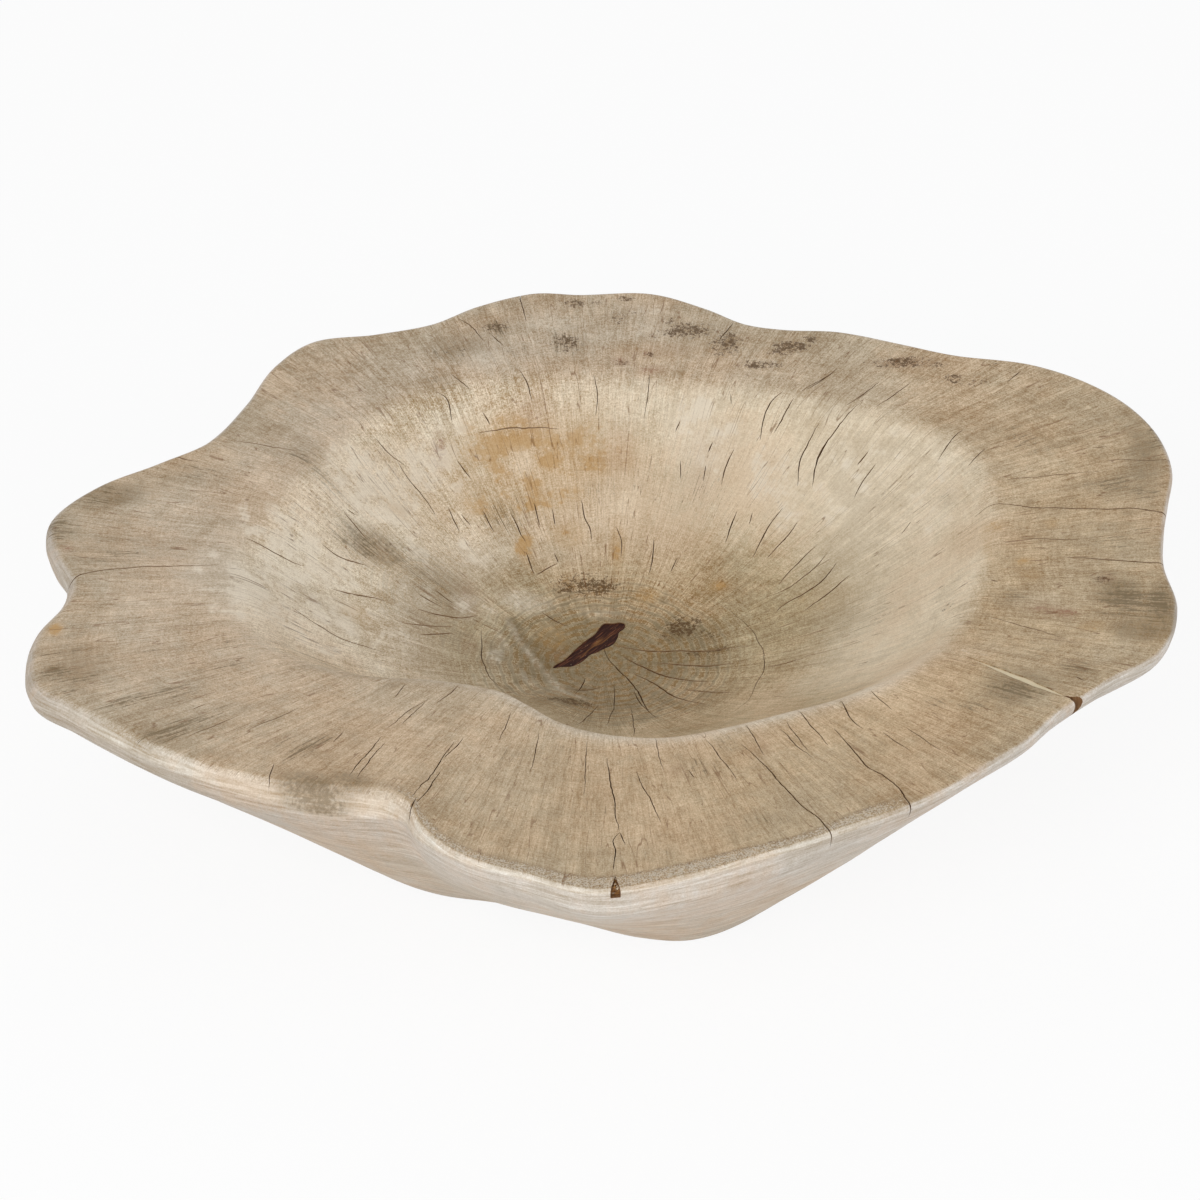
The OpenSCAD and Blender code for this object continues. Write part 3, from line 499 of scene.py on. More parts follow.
class BowlColours(bpy.types.PropertyGroup):
    """Colours of the bowl's finishes."""

    wood: colour("Wood", "Middle tone of the bleached end grain", "#C2AD8F")
    wall_tone: colour("Wall", "Freshly cut cream of the hollow's wall", "#E8D9BD")
    side_tone: colour("Side", "Whitish side grain of the edge and flank", "#D6CDC0")
    rim_tone: colour("Rim", "Weathered tone of the outer rim", "#A8977B")
    floor_tone: colour("Floor", "Browner tone of the hollow's floor", "#9F9069")
    sunny_tone: colour("Sunny side", "Right front, which the light has yellowed", "#B99B6C")
    # Also the painted shade on the left of the flank
    shady_tone: colour("Shady side", "Back and left, which stayed a cool beige", "#BFB4A5")
    tan_tone: colour("Tan", "Places that weathered to a pinkish tan", "#CDAC88")
    grey_tone: colour("Grey", "Places that weathered to a cool grey", "#9F927A")
    arris_stain: colour("Arris stain", "Dirt in the worn front arris", "#7C6549")
    ring_stain: colour("Ring stain", "Dark rings round the heart", "#5B4A2A")
    grey_stain: colour("Grey stain", "Weather stain along the rays", "#6B5B40")
    ochre_stain: colour("Ochre stain", "Mineral stain in the hollow", "#B48B50")
    rust_stain: colour("Rust stain", "Red-brown stain beside old cracks", "#87583F")
    dark_stain: colour("Dark stain", "Specks of old decay", "#472E12")
    # Also the painted highlight on the front edge and the lip, and the painted glints among the pale
    # stains
    pale_bloom_and_highlight: colour("Pale bloom and highlight", "Bleached, fuzzy places", "#E6DCCA")
    sheen: colour("Sheen", "Warm tint of the wax's sheen", "#FFDFB0")
    # Also painted shade deep in the cracks
    crack_wood_and_shade: colour("Crack", "Old wood inside the drying cracks", "#68421F")
    torn_wood: colour("Torn wood", "Torn wood inside the open notch", "#8A6845")
    filler: colour("Filler", "Dark filler in the void at the heart", "#2E1712")
    scraped_filler: colour("Scraped filler", "Scrape marks in the dark filler", "#7A4A32")
    amber: colour("Amber", "Amber streak in the dark filler", "#8F6238")
    putty: colour("Putty", "Wood putty in the side split", "#CDBD98")
    crumb: colour("Crumb", "Crumbled wood in the front split", "#A37743")


def turn_of(bearing):
    """Unit direction of a bearing in degrees."""
    angle = np.radians(bearing)
    return np.array([np.cos(angle), np.sin(angle)])


def curve(table, bearing):
    """Smooth closed curve through a table of bearings and shares."""
    table = np.array(table, float)
    count = len(table)
    bearing = np.mod(np.asarray(bearing, float) - table[0, 0], 360) + table[0, 0]
    first = np.searchsorted(table[:, 0], bearing, side="right") - 1

    def point(step):
        index = first + step
        return table[index % count, 0] + 360 * (index // count), table[index % count, 1]

    (a0, v0), (a1, v1), (a2, v2), (a3, v3) = (point(step) for step in (-1, 0, 1, 2))
    h = a2 - a1
    slope1 = h * (v2 - v0) / (a2 - a0)
    slope2 = h * (v3 - v1) / (a3 - a1)
    s = (bearing - a1) / h
    return (
        v1 * (2 * s**3 - 3 * s**2 + 1) + slope1 * (s**3 - 2 * s**2 + s)
        + v2 * (3 * s**2 - 2 * s**3) + slope2 * (s**3 - s**2)
    )


def smooth_step(low, high, value):
    """0 below low, 1 above high, and a soft change between them."""
    s = np.clip((value - low) / (high - low), 0, 1)
    return s * s * (3 - 2 * s)


def plateau(start, full, last, end, value):
    """1 between the two middle limits, 0 outside the outer two, and soft changes between them."""
    return smooth_step(start, full, value) * (1 - smooth_step(last, end, value))


def wavy(*place):
    """Smooth random waves, about one to a unit, at a place."""
    return noise.noise(Vector(place))


class BowlForm:
    """The bowl's surface, worked out in millimetres from the sizes."""

    def __init__(self, sizes):
        for name in sizes.__annotations__:
            setattr(self, name, getattr(sizes, name) * 1000)
        # The CAD model centres the outline by points 3 degrees apart, and so does this
        steps = np.arange(0, 360, 3)
        shares = curve(RIM, steps)
        x = shares * np.cos(np.radians(steps))
        y = shares * np.sin(np.radians(steps))
        self.scale = self.width / (x.max() - x.min())
        self.heart = -self.scale * np.array([x.min() + x.max(), y.min() + y.max()]) / 2

    def rim(self, bearing):
        """Distance of the outer edge from the heart."""
        return self.scale * curve(RIM, bearing)

    def lip(self, bearing):
        """Distance of the hollow's lip from the heart."""
        return self.hollow_width / 2 * curve(LIP, bearing)

    def radius(self, bearing):
        """Radius that rounds the top of the outer edge."""
        return self.edge_radius * curve(EDGE_RADIUS, bearing)

    def polar(self, x, y):
        """Distance and bearing of a place from the heart."""
        dx, dy = x - self.heart[0], y - self.heart[1]
        return np.hypot(dx, dy), np.mod(np.degrees(np.arctan2(dy, dx)), 360)

    def top(self, distance, bearing):
        """Height of the upper surface."""
        lip = self.lip(bearing)
        flat = self.rim(bearing) - self.radius(bearing)
        rim_z = self.height - self.rim_fall * (1 - distance / flat)
        lip_z = self.height - self.rim_fall * (1 - lip / flat)
        rise = (distance / lip) ** WALL_POWER
        wall_z = self.floor_thickness + (lip_z - self.floor_thickness) * rise
        blend = self.lip_blend * curve(LIP_BLEND, bearing)
        near = np.maximum(blend - np.abs(rim_z - wall_z), 0)
        return np.minimum(rim_z, wall_z) - near**2 / (4 * blend)

    def worked(self, x, y):
        """How far hand sanding has lowered the upper surface at places in plan."""
        broad, narrow = 38, 13
        low = np.array([
            wavy(px / broad, py / broad, 4.2) + 0.4 * wavy(px / narrow, py / narrow, 9.1)
            for px, py in zip(np.ravel(x), np.ravel(y))
        ])
        share = np.clip(0.5 + 0.45 * low, 0, 1).reshape(np.shape(x))
        return self.worked_depth * share

    def top_at(self, x, y):
        """Height of the hand-worked upper surface at places in plan."""
        return self.top(*self.polar(x, y)) - self.worked(x, y)

    def section(self, bearing):
        """Distances and heights of the rows, one column for each bearing."""
        lip, rim, r = self.lip(bearing), self.rim(bearing), self.radius(bearing)
        foot = self.foot_width / 2 * curve(FOOT, bearing)
        band = self.edge_height * curve(EDGE_HEIGHT, bearing)
        swell = self.flank_swell * curve(SWELL, bearing)
        rows = []
        for step in range(1, HOLLOW_ROWS + 1):
            distance = lip * step / HOLLOW_ROWS
            rows.append((distance, self.top(distance, bearing)))
        for step in range(1, RIM_ROWS + 1):
            # Closer together towards the edge, where the stains are narrow
            distance = rim - r - (rim - r - lip) * (1 - step / RIM_ROWS) ** 1.4
            rows.append((distance, self.top(distance, bearing)))
        for step in range(1, ROUNDING_ROWS + 1):
            turn = np.pi / 2 * step / ROUNDING_ROWS
            rows.append((rim - r + r * np.sin(turn), self.height - r + r * np.cos(turn)))
        first = len(rows) - 1
        corner = (rim - self.edge_lean, self.height - r - band)
        foot_turn = np.radians(FOOT_TURN)
        flank_end = (
            foot + self.foot_radius * np.cos(foot_turn),
            self.foot_radius * (1 - np.sin(foot_turn)),
        )
        # The corner is rounded from a little above it on the band to a little below on the flank
        above, below = np.minimum(0.45, 3.5 / band), 0.05
        start = [rows[first][i] * above + corner[i] * (1 - above) for i in (0, 1)]

        def on_flank(s):
            return (
                corner[0] + (flank_end[0] - corner[0]) * s + swell * 4 * s * (1 - s),
                corner[1] + (flank_end[1] - corner[1]) * s,
            )

        end = on_flank(below)
        for step in range(1, BAND_ROWS + 1):
            s = step / (BAND_ROWS + 1)
            rows.append(tuple(rows[first][i] * (1 - s) + start[i] * s for i in (0, 1)))
        for step in range(CORNER_ROWS + 1):
            s = step / CORNER_ROWS
            rows.append(tuple(
                start[i] * (1 - s) ** 2 + 2 * corner[i] * s * (1 - s) + end[i] * s**2
                for i in (0, 1)
            ))
        for step in range(1, FLANK_ROWS + 1):
            rows.append(on_flank(below + (1 - below) * step / FLANK_ROWS))
        for step in range(1, FOOT_ROWS + 1):
            turn = foot_turn + (np.pi / 2 - foot_turn) * step / FOOT_ROWS
            rows.append((
                foot + self.foot_radius * np.cos(turn), self.foot_radius * (1 - np.sin(turn))
            ))
        for step in range(1, UNDER_ROWS + 1):
            rows.append((foot * (1 - step / (UNDER_ROWS + 1)), 0 * foot))
        distances, heights = np.array([np.broadcast_arrays(*row) for row in rows]).swapaxes(0, 1)
        return distances, heights

    def skin_depth(self, x, y, z):
        """Rough distance of points under the skin, for the sides of cracks."""
        distance, bearing = self.polar(x, y)
        rim, r = self.rim(bearing), self.radius(bearing)
        beyond = np.clip(distance - (rim - r), 0, r)
        top = np.where(
            beyond > 0, self.height - r + np.sqrt(r * r - beyond**2), self.top_at(x, y)
        )
        return np.maximum(np.minimum(top - z, rim - distance), 0)

    def seen_at(self, pixels):
        """Places in plan where the photograph shows the upper surface at its pixels.

        They are whole millimetres, because a pixel spans 0.5 mm across and 0.9 mm in depth.
        """
        pixels = np.reshape(pixels, (-1, 2)).astype(float)
        rise = np.radians(VIEW_RISE)
        ahead = np.array([0, np.cos(rise), -np.sin(rise)])
        upwards = np.array([0, np.sin(rise), np.cos(rise)])
        eye = VIEW_TARGET - VIEW_DISTANCE * ahead
        offset = (pixels - FRAME_PIXELS / 2) * SENSOR / FRAME_PIXELS
        sight = LENS * ahead + offset[:, :1] * np.array([1, 0, 0]) - offset[:, 1:] * upwards
        # Each line of sight in small steps, from above the rim to below the floor
        levels = np.linspace(self.height + 5, self.floor_thickness - 5, 400)
        reach = (levels - eye[2]) / sight[:, 2:]
        x, y = eye[0] + reach * sight[:, :1], eye[1] + reach * sight[:, 1:2]
        above = levels - self.top(*self.polar(x, y))
        under = np.argmax(above < 0, axis=1)
        if not under.all():
            raise RuntimeError("a pixel in a table lies beside the bowl")
        each = np.arange(len(pixels))
        before, after = above[each, under - 1], above[each, under]
        share = before / (before - after)
        return np.round(np.column_stack([
            line[each, under - 1] + share * (line[each, under] - line[each, under - 1])
            for line in (x, y)
        ]))


def new_piece(name, points, faces, materials):
    """A mesh object from points in millimetres."""
    mesh = bpy.data.meshes.new(name)
    mesh.from_pydata((np.asarray(points, float) / 1000).tolist(), [], faces)
    for material in materials:
        mesh.materials.append(material)
    mesh.update()
    piece = bpy.data.objects.new(name, mesh)
    bpy.context.scene.collection.objects.link(piece)
    return piece


def remove(piece):
    """Takes a helper object and its mesh out of the file."""
    mesh = piece.data
    bpy.data.objects.remove(piece)
    bpy.data.meshes.remove(mesh)


def combine(piece, tool, how):
    """Cuts a piece with a closed tool, or keeps what lies in both."""
    before = len(piece.data.vertices)
    change = piece.modifiers.new(how, "BOOLEAN")
    change.operation = how
    change.solver = "MANIFOLD"
    change.object = tool
    bpy.context.view_layer.update()
    result = bpy.data.meshes.new_from_object(
        piece.evaluated_get(bpy.context.evaluated_depsgraph_get())
    )
    piece.modifiers.clear()
    old = piece.data
    piece.data = result
    bpy.data.meshes.remove(old)
    remove(tool)
    if how == "DIFFERENCE" and len(result.vertices) <= before:
        raise RuntimeError("a cut left no mark on " + piece.name)
    if not result.vertices:
        raise RuntimeError("nothing was left of " + piece.name)


def finish_shading(piece, angle):
    """Smooth shading that keeps edges sharper than an angle in degrees."""
    piece.data.shade_smooth()
    piece.data.set_sharp_from_angle(angle=np.radians(angle))


def span(p0, p1, p2, p3, parts):
    """Points of a smooth line from p1 up to p2, with p0 and p3 as the points beside them."""
    return [
        0.5 * (
            2 * p1 + (p2 - p0) * s + (2 * p0 - 5 * p1 + 4 * p2 - p3) * s**2
            + (3 * p1 - p0 - 3 * p2 + p3) * s**3
        )
        for s in (step / parts for step in range(parts))
    ]


def closed_curve(points, parts):
    """Smooth closed line through points, with each span cut into parts."""
    points = np.array(points, float)
    result = []
    for i in range(len(points)):
        result += span(*(points[(i + k - 1) % len(points)] for k in range(4)), parts)
    return np.array(result)


def open_curve(points, spacing):
    """Smooth open line through points, at about even spacing."""
    points = np.array(points, float)
    points = np.vstack([2 * points[0] - points[1], points, 2 * points[-1] - points[-2]])
    result = []
    for i in range(1, len(points) - 2):
        reach = np.linalg.norm(points[i + 1] - points[i])
        result += span(*points[i - 1:i + 3], max(2, int(np.ceil(reach / spacing))))
    result.append(points[-2])
    return np.array(result)


def prism(outline, low, high):
    """Points and faces of an upright prism with a closed outline that runs anticlockwise."""
    count = len(outline)
    points = np.vstack([
        np.column_stack([outline, np.full(count, low)]),
        np.column_stack([outline, np.full(count, high)]),
    ])
    faces = [tuple(range(count - 1, -1, -1)), tuple(range(count, 2 * count))]
    faces += [(i, (i + 1) % count, count + (i + 1) % count, count + i) for i in range(count)]
    return points, faces


def anticlockwise(outline):
    """The outline in anticlockwise order."""
    x, y = outline.T
    area = np.sum(x * np.roll(y, -1) - y * np.roll(x, -1))
    return outline if area > 0 else outline[::-1]


def placed(outline, place, turn):
    """An outline turned and moved to its place in plan."""
    along, across = turn_of(turn), turn_of(turn + 90)
    outline = np.asarray(outline, float)
    return place + outline[:, :1] * along + outline[:, 1:] * across


def heart_outline(form):
    """Outline of the void at the heart, and its middle."""
    place = form.heart + form.heart_void_gap * turn_of(HEART_VOID_BEARING)
    size = np.array([form.heart_void_length, form.heart_void_width]) / 2
    outline = closed_curve(np.array(HEART_OUTLINE) * size, 4)
    return placed(outline, place, HEART_VOID_TURN), place


def split_outline(form):
    """Outline of the puttied split, and its middle."""
    toward = turn_of(SPLIT_TURN)
    tip = form.heart + (form.rim(NOTCH_BEARING) - form.notch_length) * turn_of(NOTCH_BEARING)
    end = tip - form.split_gap * toward
    side = [(-s * form.split_length, w * form.split_width / 2) for s, w in SPLIT_OUTLINE]
    side = open_curve(side, 2)
    wander = np.array([0.35 * wavy(p[0] / 7, 2.7, 0) for p in side])
    near = np.column_stack([side[:, 0], side[:, 1] + wander])
    far = np.column_stack([side[:, 0], wander - side[:, 1]])[::-1]
    outline = np.vstack([near, far])
    return placed(outline, end, SPLIT_TURN), end - toward * form.split_length / 2


def wedge_outline(form, bearing, width, reach, past):
    """Outline of a wedge that opens towards the outer edge."""
    edge = form.rim(bearing)
    slope = width / 2 / reach
    half = slope * (reach + past)
    outline = [(edge - reach, 0), (edge + past, -half), (edge + past, half)]
    return placed(outline, form.heart, bearing)


def notch_tool(form, chance):
    """Points and faces of the open notch's cutter, with walls torn along the upright fibres."""
    reach, past, levels, parts = form.notch_length, 6.0, 12, 9
    clear = 3
    edge = form.rim(NOTCH_BEARING)
    slope = form.notch_width / 2 / reach
    tears = [[chance.uniform(-0.45, 0.3) for _ in range(parts)] for _ in range(2)]
    rings = []
    for level in range(levels + 1):
        z = form.height - form.notch_depth + (form.notch_depth + clear) * level / levels
        ring = [(edge - reach - 0.15 + 0.3 * np.sin(level * 1.9), 0.0)]
        for side, order in ((-1, range(1, parts + 1)), (1, range(parts, 0, -1))):
            for part in order:
                along = (reach + past) * part / parts
                tear = tears[side > 0][part - 1] * min(1, along / 3)
                tear += 0.12 * np.sin(level * 1.3 + part * 2.1)
                ring.append((edge - reach + along, side * (slope * along + tear * (part < parts))))
        ring = placed(ring, form.heart, NOTCH_BEARING)
        rings.append(np.column_stack([ring, np.full(len(ring), z)]))
    size = len(rings[0])
    faces = [tuple(range(size - 1, -1, -1)), tuple(range(levels * size, (levels + 1) * size))]
    for level in range(levels):
        for i in range(size):
            j = (i + 1) % size
            low, high = level * size, (level + 1) * size
            faces.append((low + i, low + j, high + j, high + i))
    return np.vstack(rings), faces


def crack_tool(form, width, depth, runs_out, places, chance):
    """Points and faces of one drying crack's cutter: a thin V-shaped groove that wanders."""
    path = open_curve(places, 0.5)
    travelled = np.append(0, np.cumsum(np.linalg.norm(np.diff(path, axis=0), axis=1)))
    ring_spacing = 1.6
    count = max(6, int(travelled[-1] / ring_spacing))
    spots = np.linspace(0, travelled[-1], count)
    path = np.column_stack([np.interp(spots, travelled, path[:, i]) for i in (0, 1)])
    run = np.gradient(path, axis=0)
    run /= np.linalg.norm(run, axis=1)[:, None]
    aside = np.column_stack([-run[:, 1], run[:, 0]])
    seed = chance.uniform(0, 900)
    drift = np.array([
        0.9 * wavy(seed + i * 0.13, 0, 0) + 0.35 * wavy(seed + i * 0.55, 5, 0) for i in range(count)
    ])
    # Short cracks wander less
    path = path + aside * (drift * min(1, count / 14))[:, None]
    share = np.linspace(0, 1, count)
    taper = np.minimum(1, share / 0.3)
    if not runs_out:
        taper = taper * np.minimum(1, (1 - share) / 0.35)
    uneven = np.array([1 + 0.45 * wavy(seed + i * 0.4, 8, 0) for i in range(count)])
    size = 0.35 + 0.65 * taper
    half = width / 2 * size * uneven
    deep = depth * size
    if runs_out:
        deep = deep + 1.2 * depth * smooth_step(0.75, 1, share)
    over = 0.6
    skin = form.top_at(path[:, 0], path[:, 1])
    edge_half = half * (deep + over) / deep
    rings = [
        np.column_stack([path + aside * edge_half[:, None], skin + over]),
        np.column_stack([path - aside * edge_half[:, None], skin + over]),
        np.column_stack([path, skin - deep]),
    ]
    points = np.stack(rings, axis=1)[1:count if runs_out else count - 1].reshape(-1, 3)
    tips = [np.append(path[0], skin[0] + 0.2)]
    if not runs_out:
        tips.append(np.append(path[-1], skin[-1] + 0.2))
    levels = len(points) // 3
    first = len(points)
    points = np.vstack([points] + [tip[None, :] for tip in tips])
    faces = []
    for i in range(levels - 1):
        a, b = 3 * i, 3 * i + 3
        for j, k in ((1, 0), (2, 1), (0, 2)):
            faces.append((a + j, b + j, b + k))
            faces.append((a + j, b + k, a + k))
    faces += [(first, 1, 0), (first, 2, 1), (first, 0, 2)]
    end = 3 * (levels - 1)
    if runs_out:
        faces.append((end, end + 1, end + 2))
    else:
        faces += [(first + 1, end, end + 1), (first + 1, end + 1, end + 2), (first + 1, end + 2, end)]
    return points, faces


def groups_apart(tools):
    """Sorts tools into groups, so that no two in a group lie in each other's box."""
    groups = []
    margin = 0.4
    for points, faces, kind in tools:
        low, high = points.min(0)[:2] - margin, points.max(0)[:2] + margin
        for group in groups:
            if all((low > h).any() or (high < l).any() for l, h, _ in group):
                group.append((low, high, (points, faces, kind)))
                break
        else:
            groups.append([(low, high, (points, faces, kind))])
    return [[item[2] for item in group] for group in groups]


def carve(piece, tools, materials):
    """Cuts every tool out of the piece. Each tool brings the number of its cut faces' material."""
    for group in groups_apart(tools):
        points, faces, kinds = [], [], []
        start = 0
        for tool_points, tool_faces, kind in group:
            points.append(tool_points)
            faces += [tuple(i + start for i in face) for face in tool_faces]
            kinds += [kind] * len(tool_faces)
            start += len(tool_points)
        tool = new_piece("tool", np.vstack(points), faces, materials)
        tool.data.polygons.foreach_set("material_index", kinds)
        combine(piece, tool, "DIFFERENCE")


def block_mesh(form):
    """Points and faces of the carved block before its voids are cut."""
    bearings = np.arange(COLUMNS) * 360 / COLUMNS
    distances, heights = form.section(bearings)
    rows = len(distances)
    outward_x, outward_y = turn_of(bearings)
    upper = HOLLOW_ROWS + RIM_ROWS
    x = form.heart[0] + distances * outward_x
    y = form.heart[1] + distances * outward_y
    # Hand sanding lowers the upper surface, and fades out over the rounding of the edge
    fade = np.zeros(rows)
    fade[:upper] = 1
    fade[upper:upper + ROUNDING_ROWS] = 1 - np.arange(1, ROUNDING_ROWS + 1) / ROUNDING_ROWS
    lowered = form.worked(x[:upper + ROUNDING_ROWS], y[:upper + ROUNDING_ROWS])
    heights[:upper + ROUNDING_ROWS] -= lowered * fade[:upper + ROUNDING_ROWS, None]
    side = slice(upper + ROUNDING_ROWS, rows - UNDER_ROWS - FOOT_ROWS)
    # The side waves in and out by hand work too, in hollows twice as long as they are high
    hewn = np.array([
        wavy(a / 30, b / 30, c / 16)
        for a, b, c in zip(x[side].ravel(), y[side].ravel(), heights[side].ravel())
    ]).reshape(x[side].shape)
    inwards = 1.2 * form.worked_depth * np.clip(0.5 + 0.6 * hewn, 0, 1)
    ease = np.minimum(1, np.arange(1, len(inwards) + 1) / 5)[:, None]
    x[side] -= inwards * ease * outward_x
    y[side] -= inwards * ease * outward_y
    low, high = np.array(CAD_BOX) * 1000
    points = np.column_stack([x.ravel(), y.ravel(), heights.ravel()])
    points = np.clip(points, low, high)
    middle = len(points)
    points = np.vstack([
        points,
        [form.heart[0], form.heart[1], form.floor_thickness - form.worked(*form.heart)],
        [form.heart[0], form.heart[1], 0],
    ])
    faces = [(middle, j, (j + 1) % COLUMNS) for j in range(COLUMNS)]
    for row in range(rows - 1):
        a, b = row * COLUMNS, (row + 1) * COLUMNS
        faces += [
            (a + j, b + j, b + (j + 1) % COLUMNS, a + (j + 1) % COLUMNS) for j in range(COLUMNS)
        ]
    last = (rows - 1) * COLUMNS
    faces += [(middle + 1, last + (j + 1) % COLUMNS, last + j) for j in range(COLUMNS)]
    return points, faces


def in_plan(form, rows):
    """Stains that were read off the photograph, as the ovals in plan that they are."""
    pixel = VIEW_DISTANCE * SENSOR / LENS / FRAME_PIXELS
    places = form.seen_at([row[:2] for row in rows])
    ovals = []
    for (x, y), (_, _, half_length, half_width, along_ray, strength) in zip(places, rows):
        turn = np.round(form.polar(x, y)[1]) * along_ray
        size = []
        for half, way in ((half_length, turn_of(turn)), (half_width, turn_of(turn + 90))):
            seen_share = np.hypot(way[0], way[1] * np.sin(np.radians(VIEW_RISE)))
            size.append(np.round(half * pixel / seen_share))
        ovals.append((x, y, *size, turn, strength))
    return ovals


def stain_at(form, kind, x, y):
    """Strength of one kind of stain at places in plan."""
    total = np.zeros_like(x)
    ovals = in_plan(form, SEEN_STAINS.get(kind, [])) + ADDED_STAINS.get(kind, [])
    for px, py, half_length, half_width, turn, strength in ovals:
        along, aside = turn_of(turn), turn_of(turn + 90)
        u = ((x - px) * along[0] + (y - py) * along[1]) / half_length
        v = ((x - px) * aside[0] + (y - py) * aside[1]) / half_width
        total = np.maximum(total, strength * np.exp(-0.7 * (u * u + v * v) ** 1.3))
    return total


def paint_masks(piece, form):
    """Stores at each point where the wood's rings, zones and stains are."""
    mesh = piece.data
    count = len(mesh.vertices)
    co = np.empty(count * 3)
    mesh.vertices.foreach_get("co", co)
    x, y, z = co.reshape(-1, 3).T * 1000
    distance, bearing = form.polar(x, y)
    share = curve(RIM, bearing)
    lobed = 1 + (share / np.mean([s for _, s in RIM]) - 1) * smooth_step(30, 240, distance)
    main_rings = distance / lobed
    second = np.hypot(x - SECOND_HEART[0], y - SECOND_HEART[1])
    # The second heart's own rings take over round it
    here = distance.min() + np.hypot(*(np.array(SECOND_HEART) - form.heart))
    branch = second * 1.15 + here - SECOND_HEART_REACH
    rings = np.minimum(main_rings, branch)
    lip, rim, r = form.lip(bearing), form.rim(bearing), form.radius(bearing)
    upper = smooth_step(-2.5, -0.5, z - form.top(np.minimum(distance, rim - r), bearing))
    rounding = smooth_step(form.height - 0.34 * r, form.height - 0.04 * r, z)
    upper = np.where(distance > rim - r, rounding, upper)
    low_part = z < form.floor_thickness - form.heart_void_depth
    upper = np.where(low_part, 0, upper)
    near = distance / lip
    facing_back = plateau(*LIP_FACES_BACK, bearing)
    wall = plateau(0.42, 0.7, 0.97, 1.05, near)
    # Painted shade: where the lip faces back, on the front inner wall and the front of the floor, the
    # wall's cream is left out and the floor's darker tone reaches almost to the lip
    wall *= 1 - facing_back * (1 - smooth_step(0.88, 1, near))
    spread = smooth_step(20, 90, x)
    floor = 1 - smooth_step(
        0.35 + 0.4 * facing_back + 0.11 * spread, 0.62 + 0.34 * facing_back + 0.17 * spread, near
    )
    floor *= 1 - 0.4 * smooth_step(30, -25, y)
    outer = smooth_step(0.3, 0.95, (distance - lip) / np.maximum(rim - lip, 1))
    inside = rim - r - distance
    inset = curve(ARRIS_LINE, bearing)
    arris = np.exp(-((inside - inset) / 1.6) ** 2) * plateau(*ARRIS_IS_DIRTY, bearing)
    arris *= z > form.height - 3
    worn = plateau(-0.8, 0.2, inset - 1.5, inset + 3, inside) * plateau(*ARRIS_IS_WORN, bearing)
    crack = form.skin_depth(x, y, z)
    core = 1 - smooth_step(20, 95, main_rings)
    contrast = 1.2 + 0.35 * smooth_step(120, 220, x) + 0.4 * smooth_step(120, 200, y)
    contrast += 1.1 * core + 0.5 * floor + 0.6 * wall * smooth_step(20, -120, x)
    contrast -= 0.7 * wall * smooth_step(-80, 90, x)
    # Stains run on over the rounding of the edge. A painted highlight, partly wear, lightens the front's
    # edge and the lip where it faces back
    over_edge = smooth_step(form.height - 1.1 * r, form.height - 0.7 * r, z)
    on_edge = np.where(inside < 0, over_edge, upper)
    edge = smooth_step(-0.12 * r, -0.3 * r, inside) * on_edge * plateau(*EDGE_HAS_PAINTED_HIGHLIGHT, bearing)
    edge = np.maximum(edge, 0.85 * np.exp(-((distance - lip) / 8) ** 2) * facing_back * upper)
    masks = {
        "rings": rings,
        "upper": upper,
        "wall": wall * upper * (0.74 + 0.26 * smooth_step(-40, 140, x)),
        "floor": floor * upper,
        "outer": outer * upper,
        "arris": 0.8 * arris,
        "worn": 0.75 * worn * upper,
        "edge": edge,
        "sunny": smooth_step(-230, 230, 0.82 * x - 0.57 * y),
        "core": 0.8 * core * upper,
        "contrast": contrast,
        "branch": (1 - smooth_step(14, 50, second)) * (1 - core) * upper,
        "crack_depth": crack,
    }
    for kind in STAIN_KINDS:
        strength = 0.9 if kind == "spalt" else 0.95
        masks[kind] = strength * stain_at(form, kind, x, y) * on_edge
    for name, values in masks.items():
        layer = mesh.attributes.new(name, "FLOAT", "POINT")
        layer.data.foreach_set("value", values.astype(np.float32))


def new_material(name):
    """An empty node material, and its node tree."""
    material = bpy.data.materials.new(name)
    material.use_nodes = True
    material.node_tree.nodes.clear()
    return material, material.node_tree


def add(tree, kind, inputs=None, **settings):
    """Adds a node with its settings, and sets or links its inputs."""
    node = tree.nodes.new("ShaderNode" + kind)
    for key, value in settings.items():
        setattr(node, key, value)
    for key, value in (inputs or {}).items():
        if isinstance(value, bpy.types.Node):
            value = next(socket for socket in value.outputs if socket.enabled)
        if isinstance(value, bpy.types.NodeSocket):
            tree.links.new(value, node.inputs[key])
        else:
            node.inputs[key].default_value = value
    return node


def opaque(rgb):
    """A colour with full alpha."""
    return (*rgb, 1)


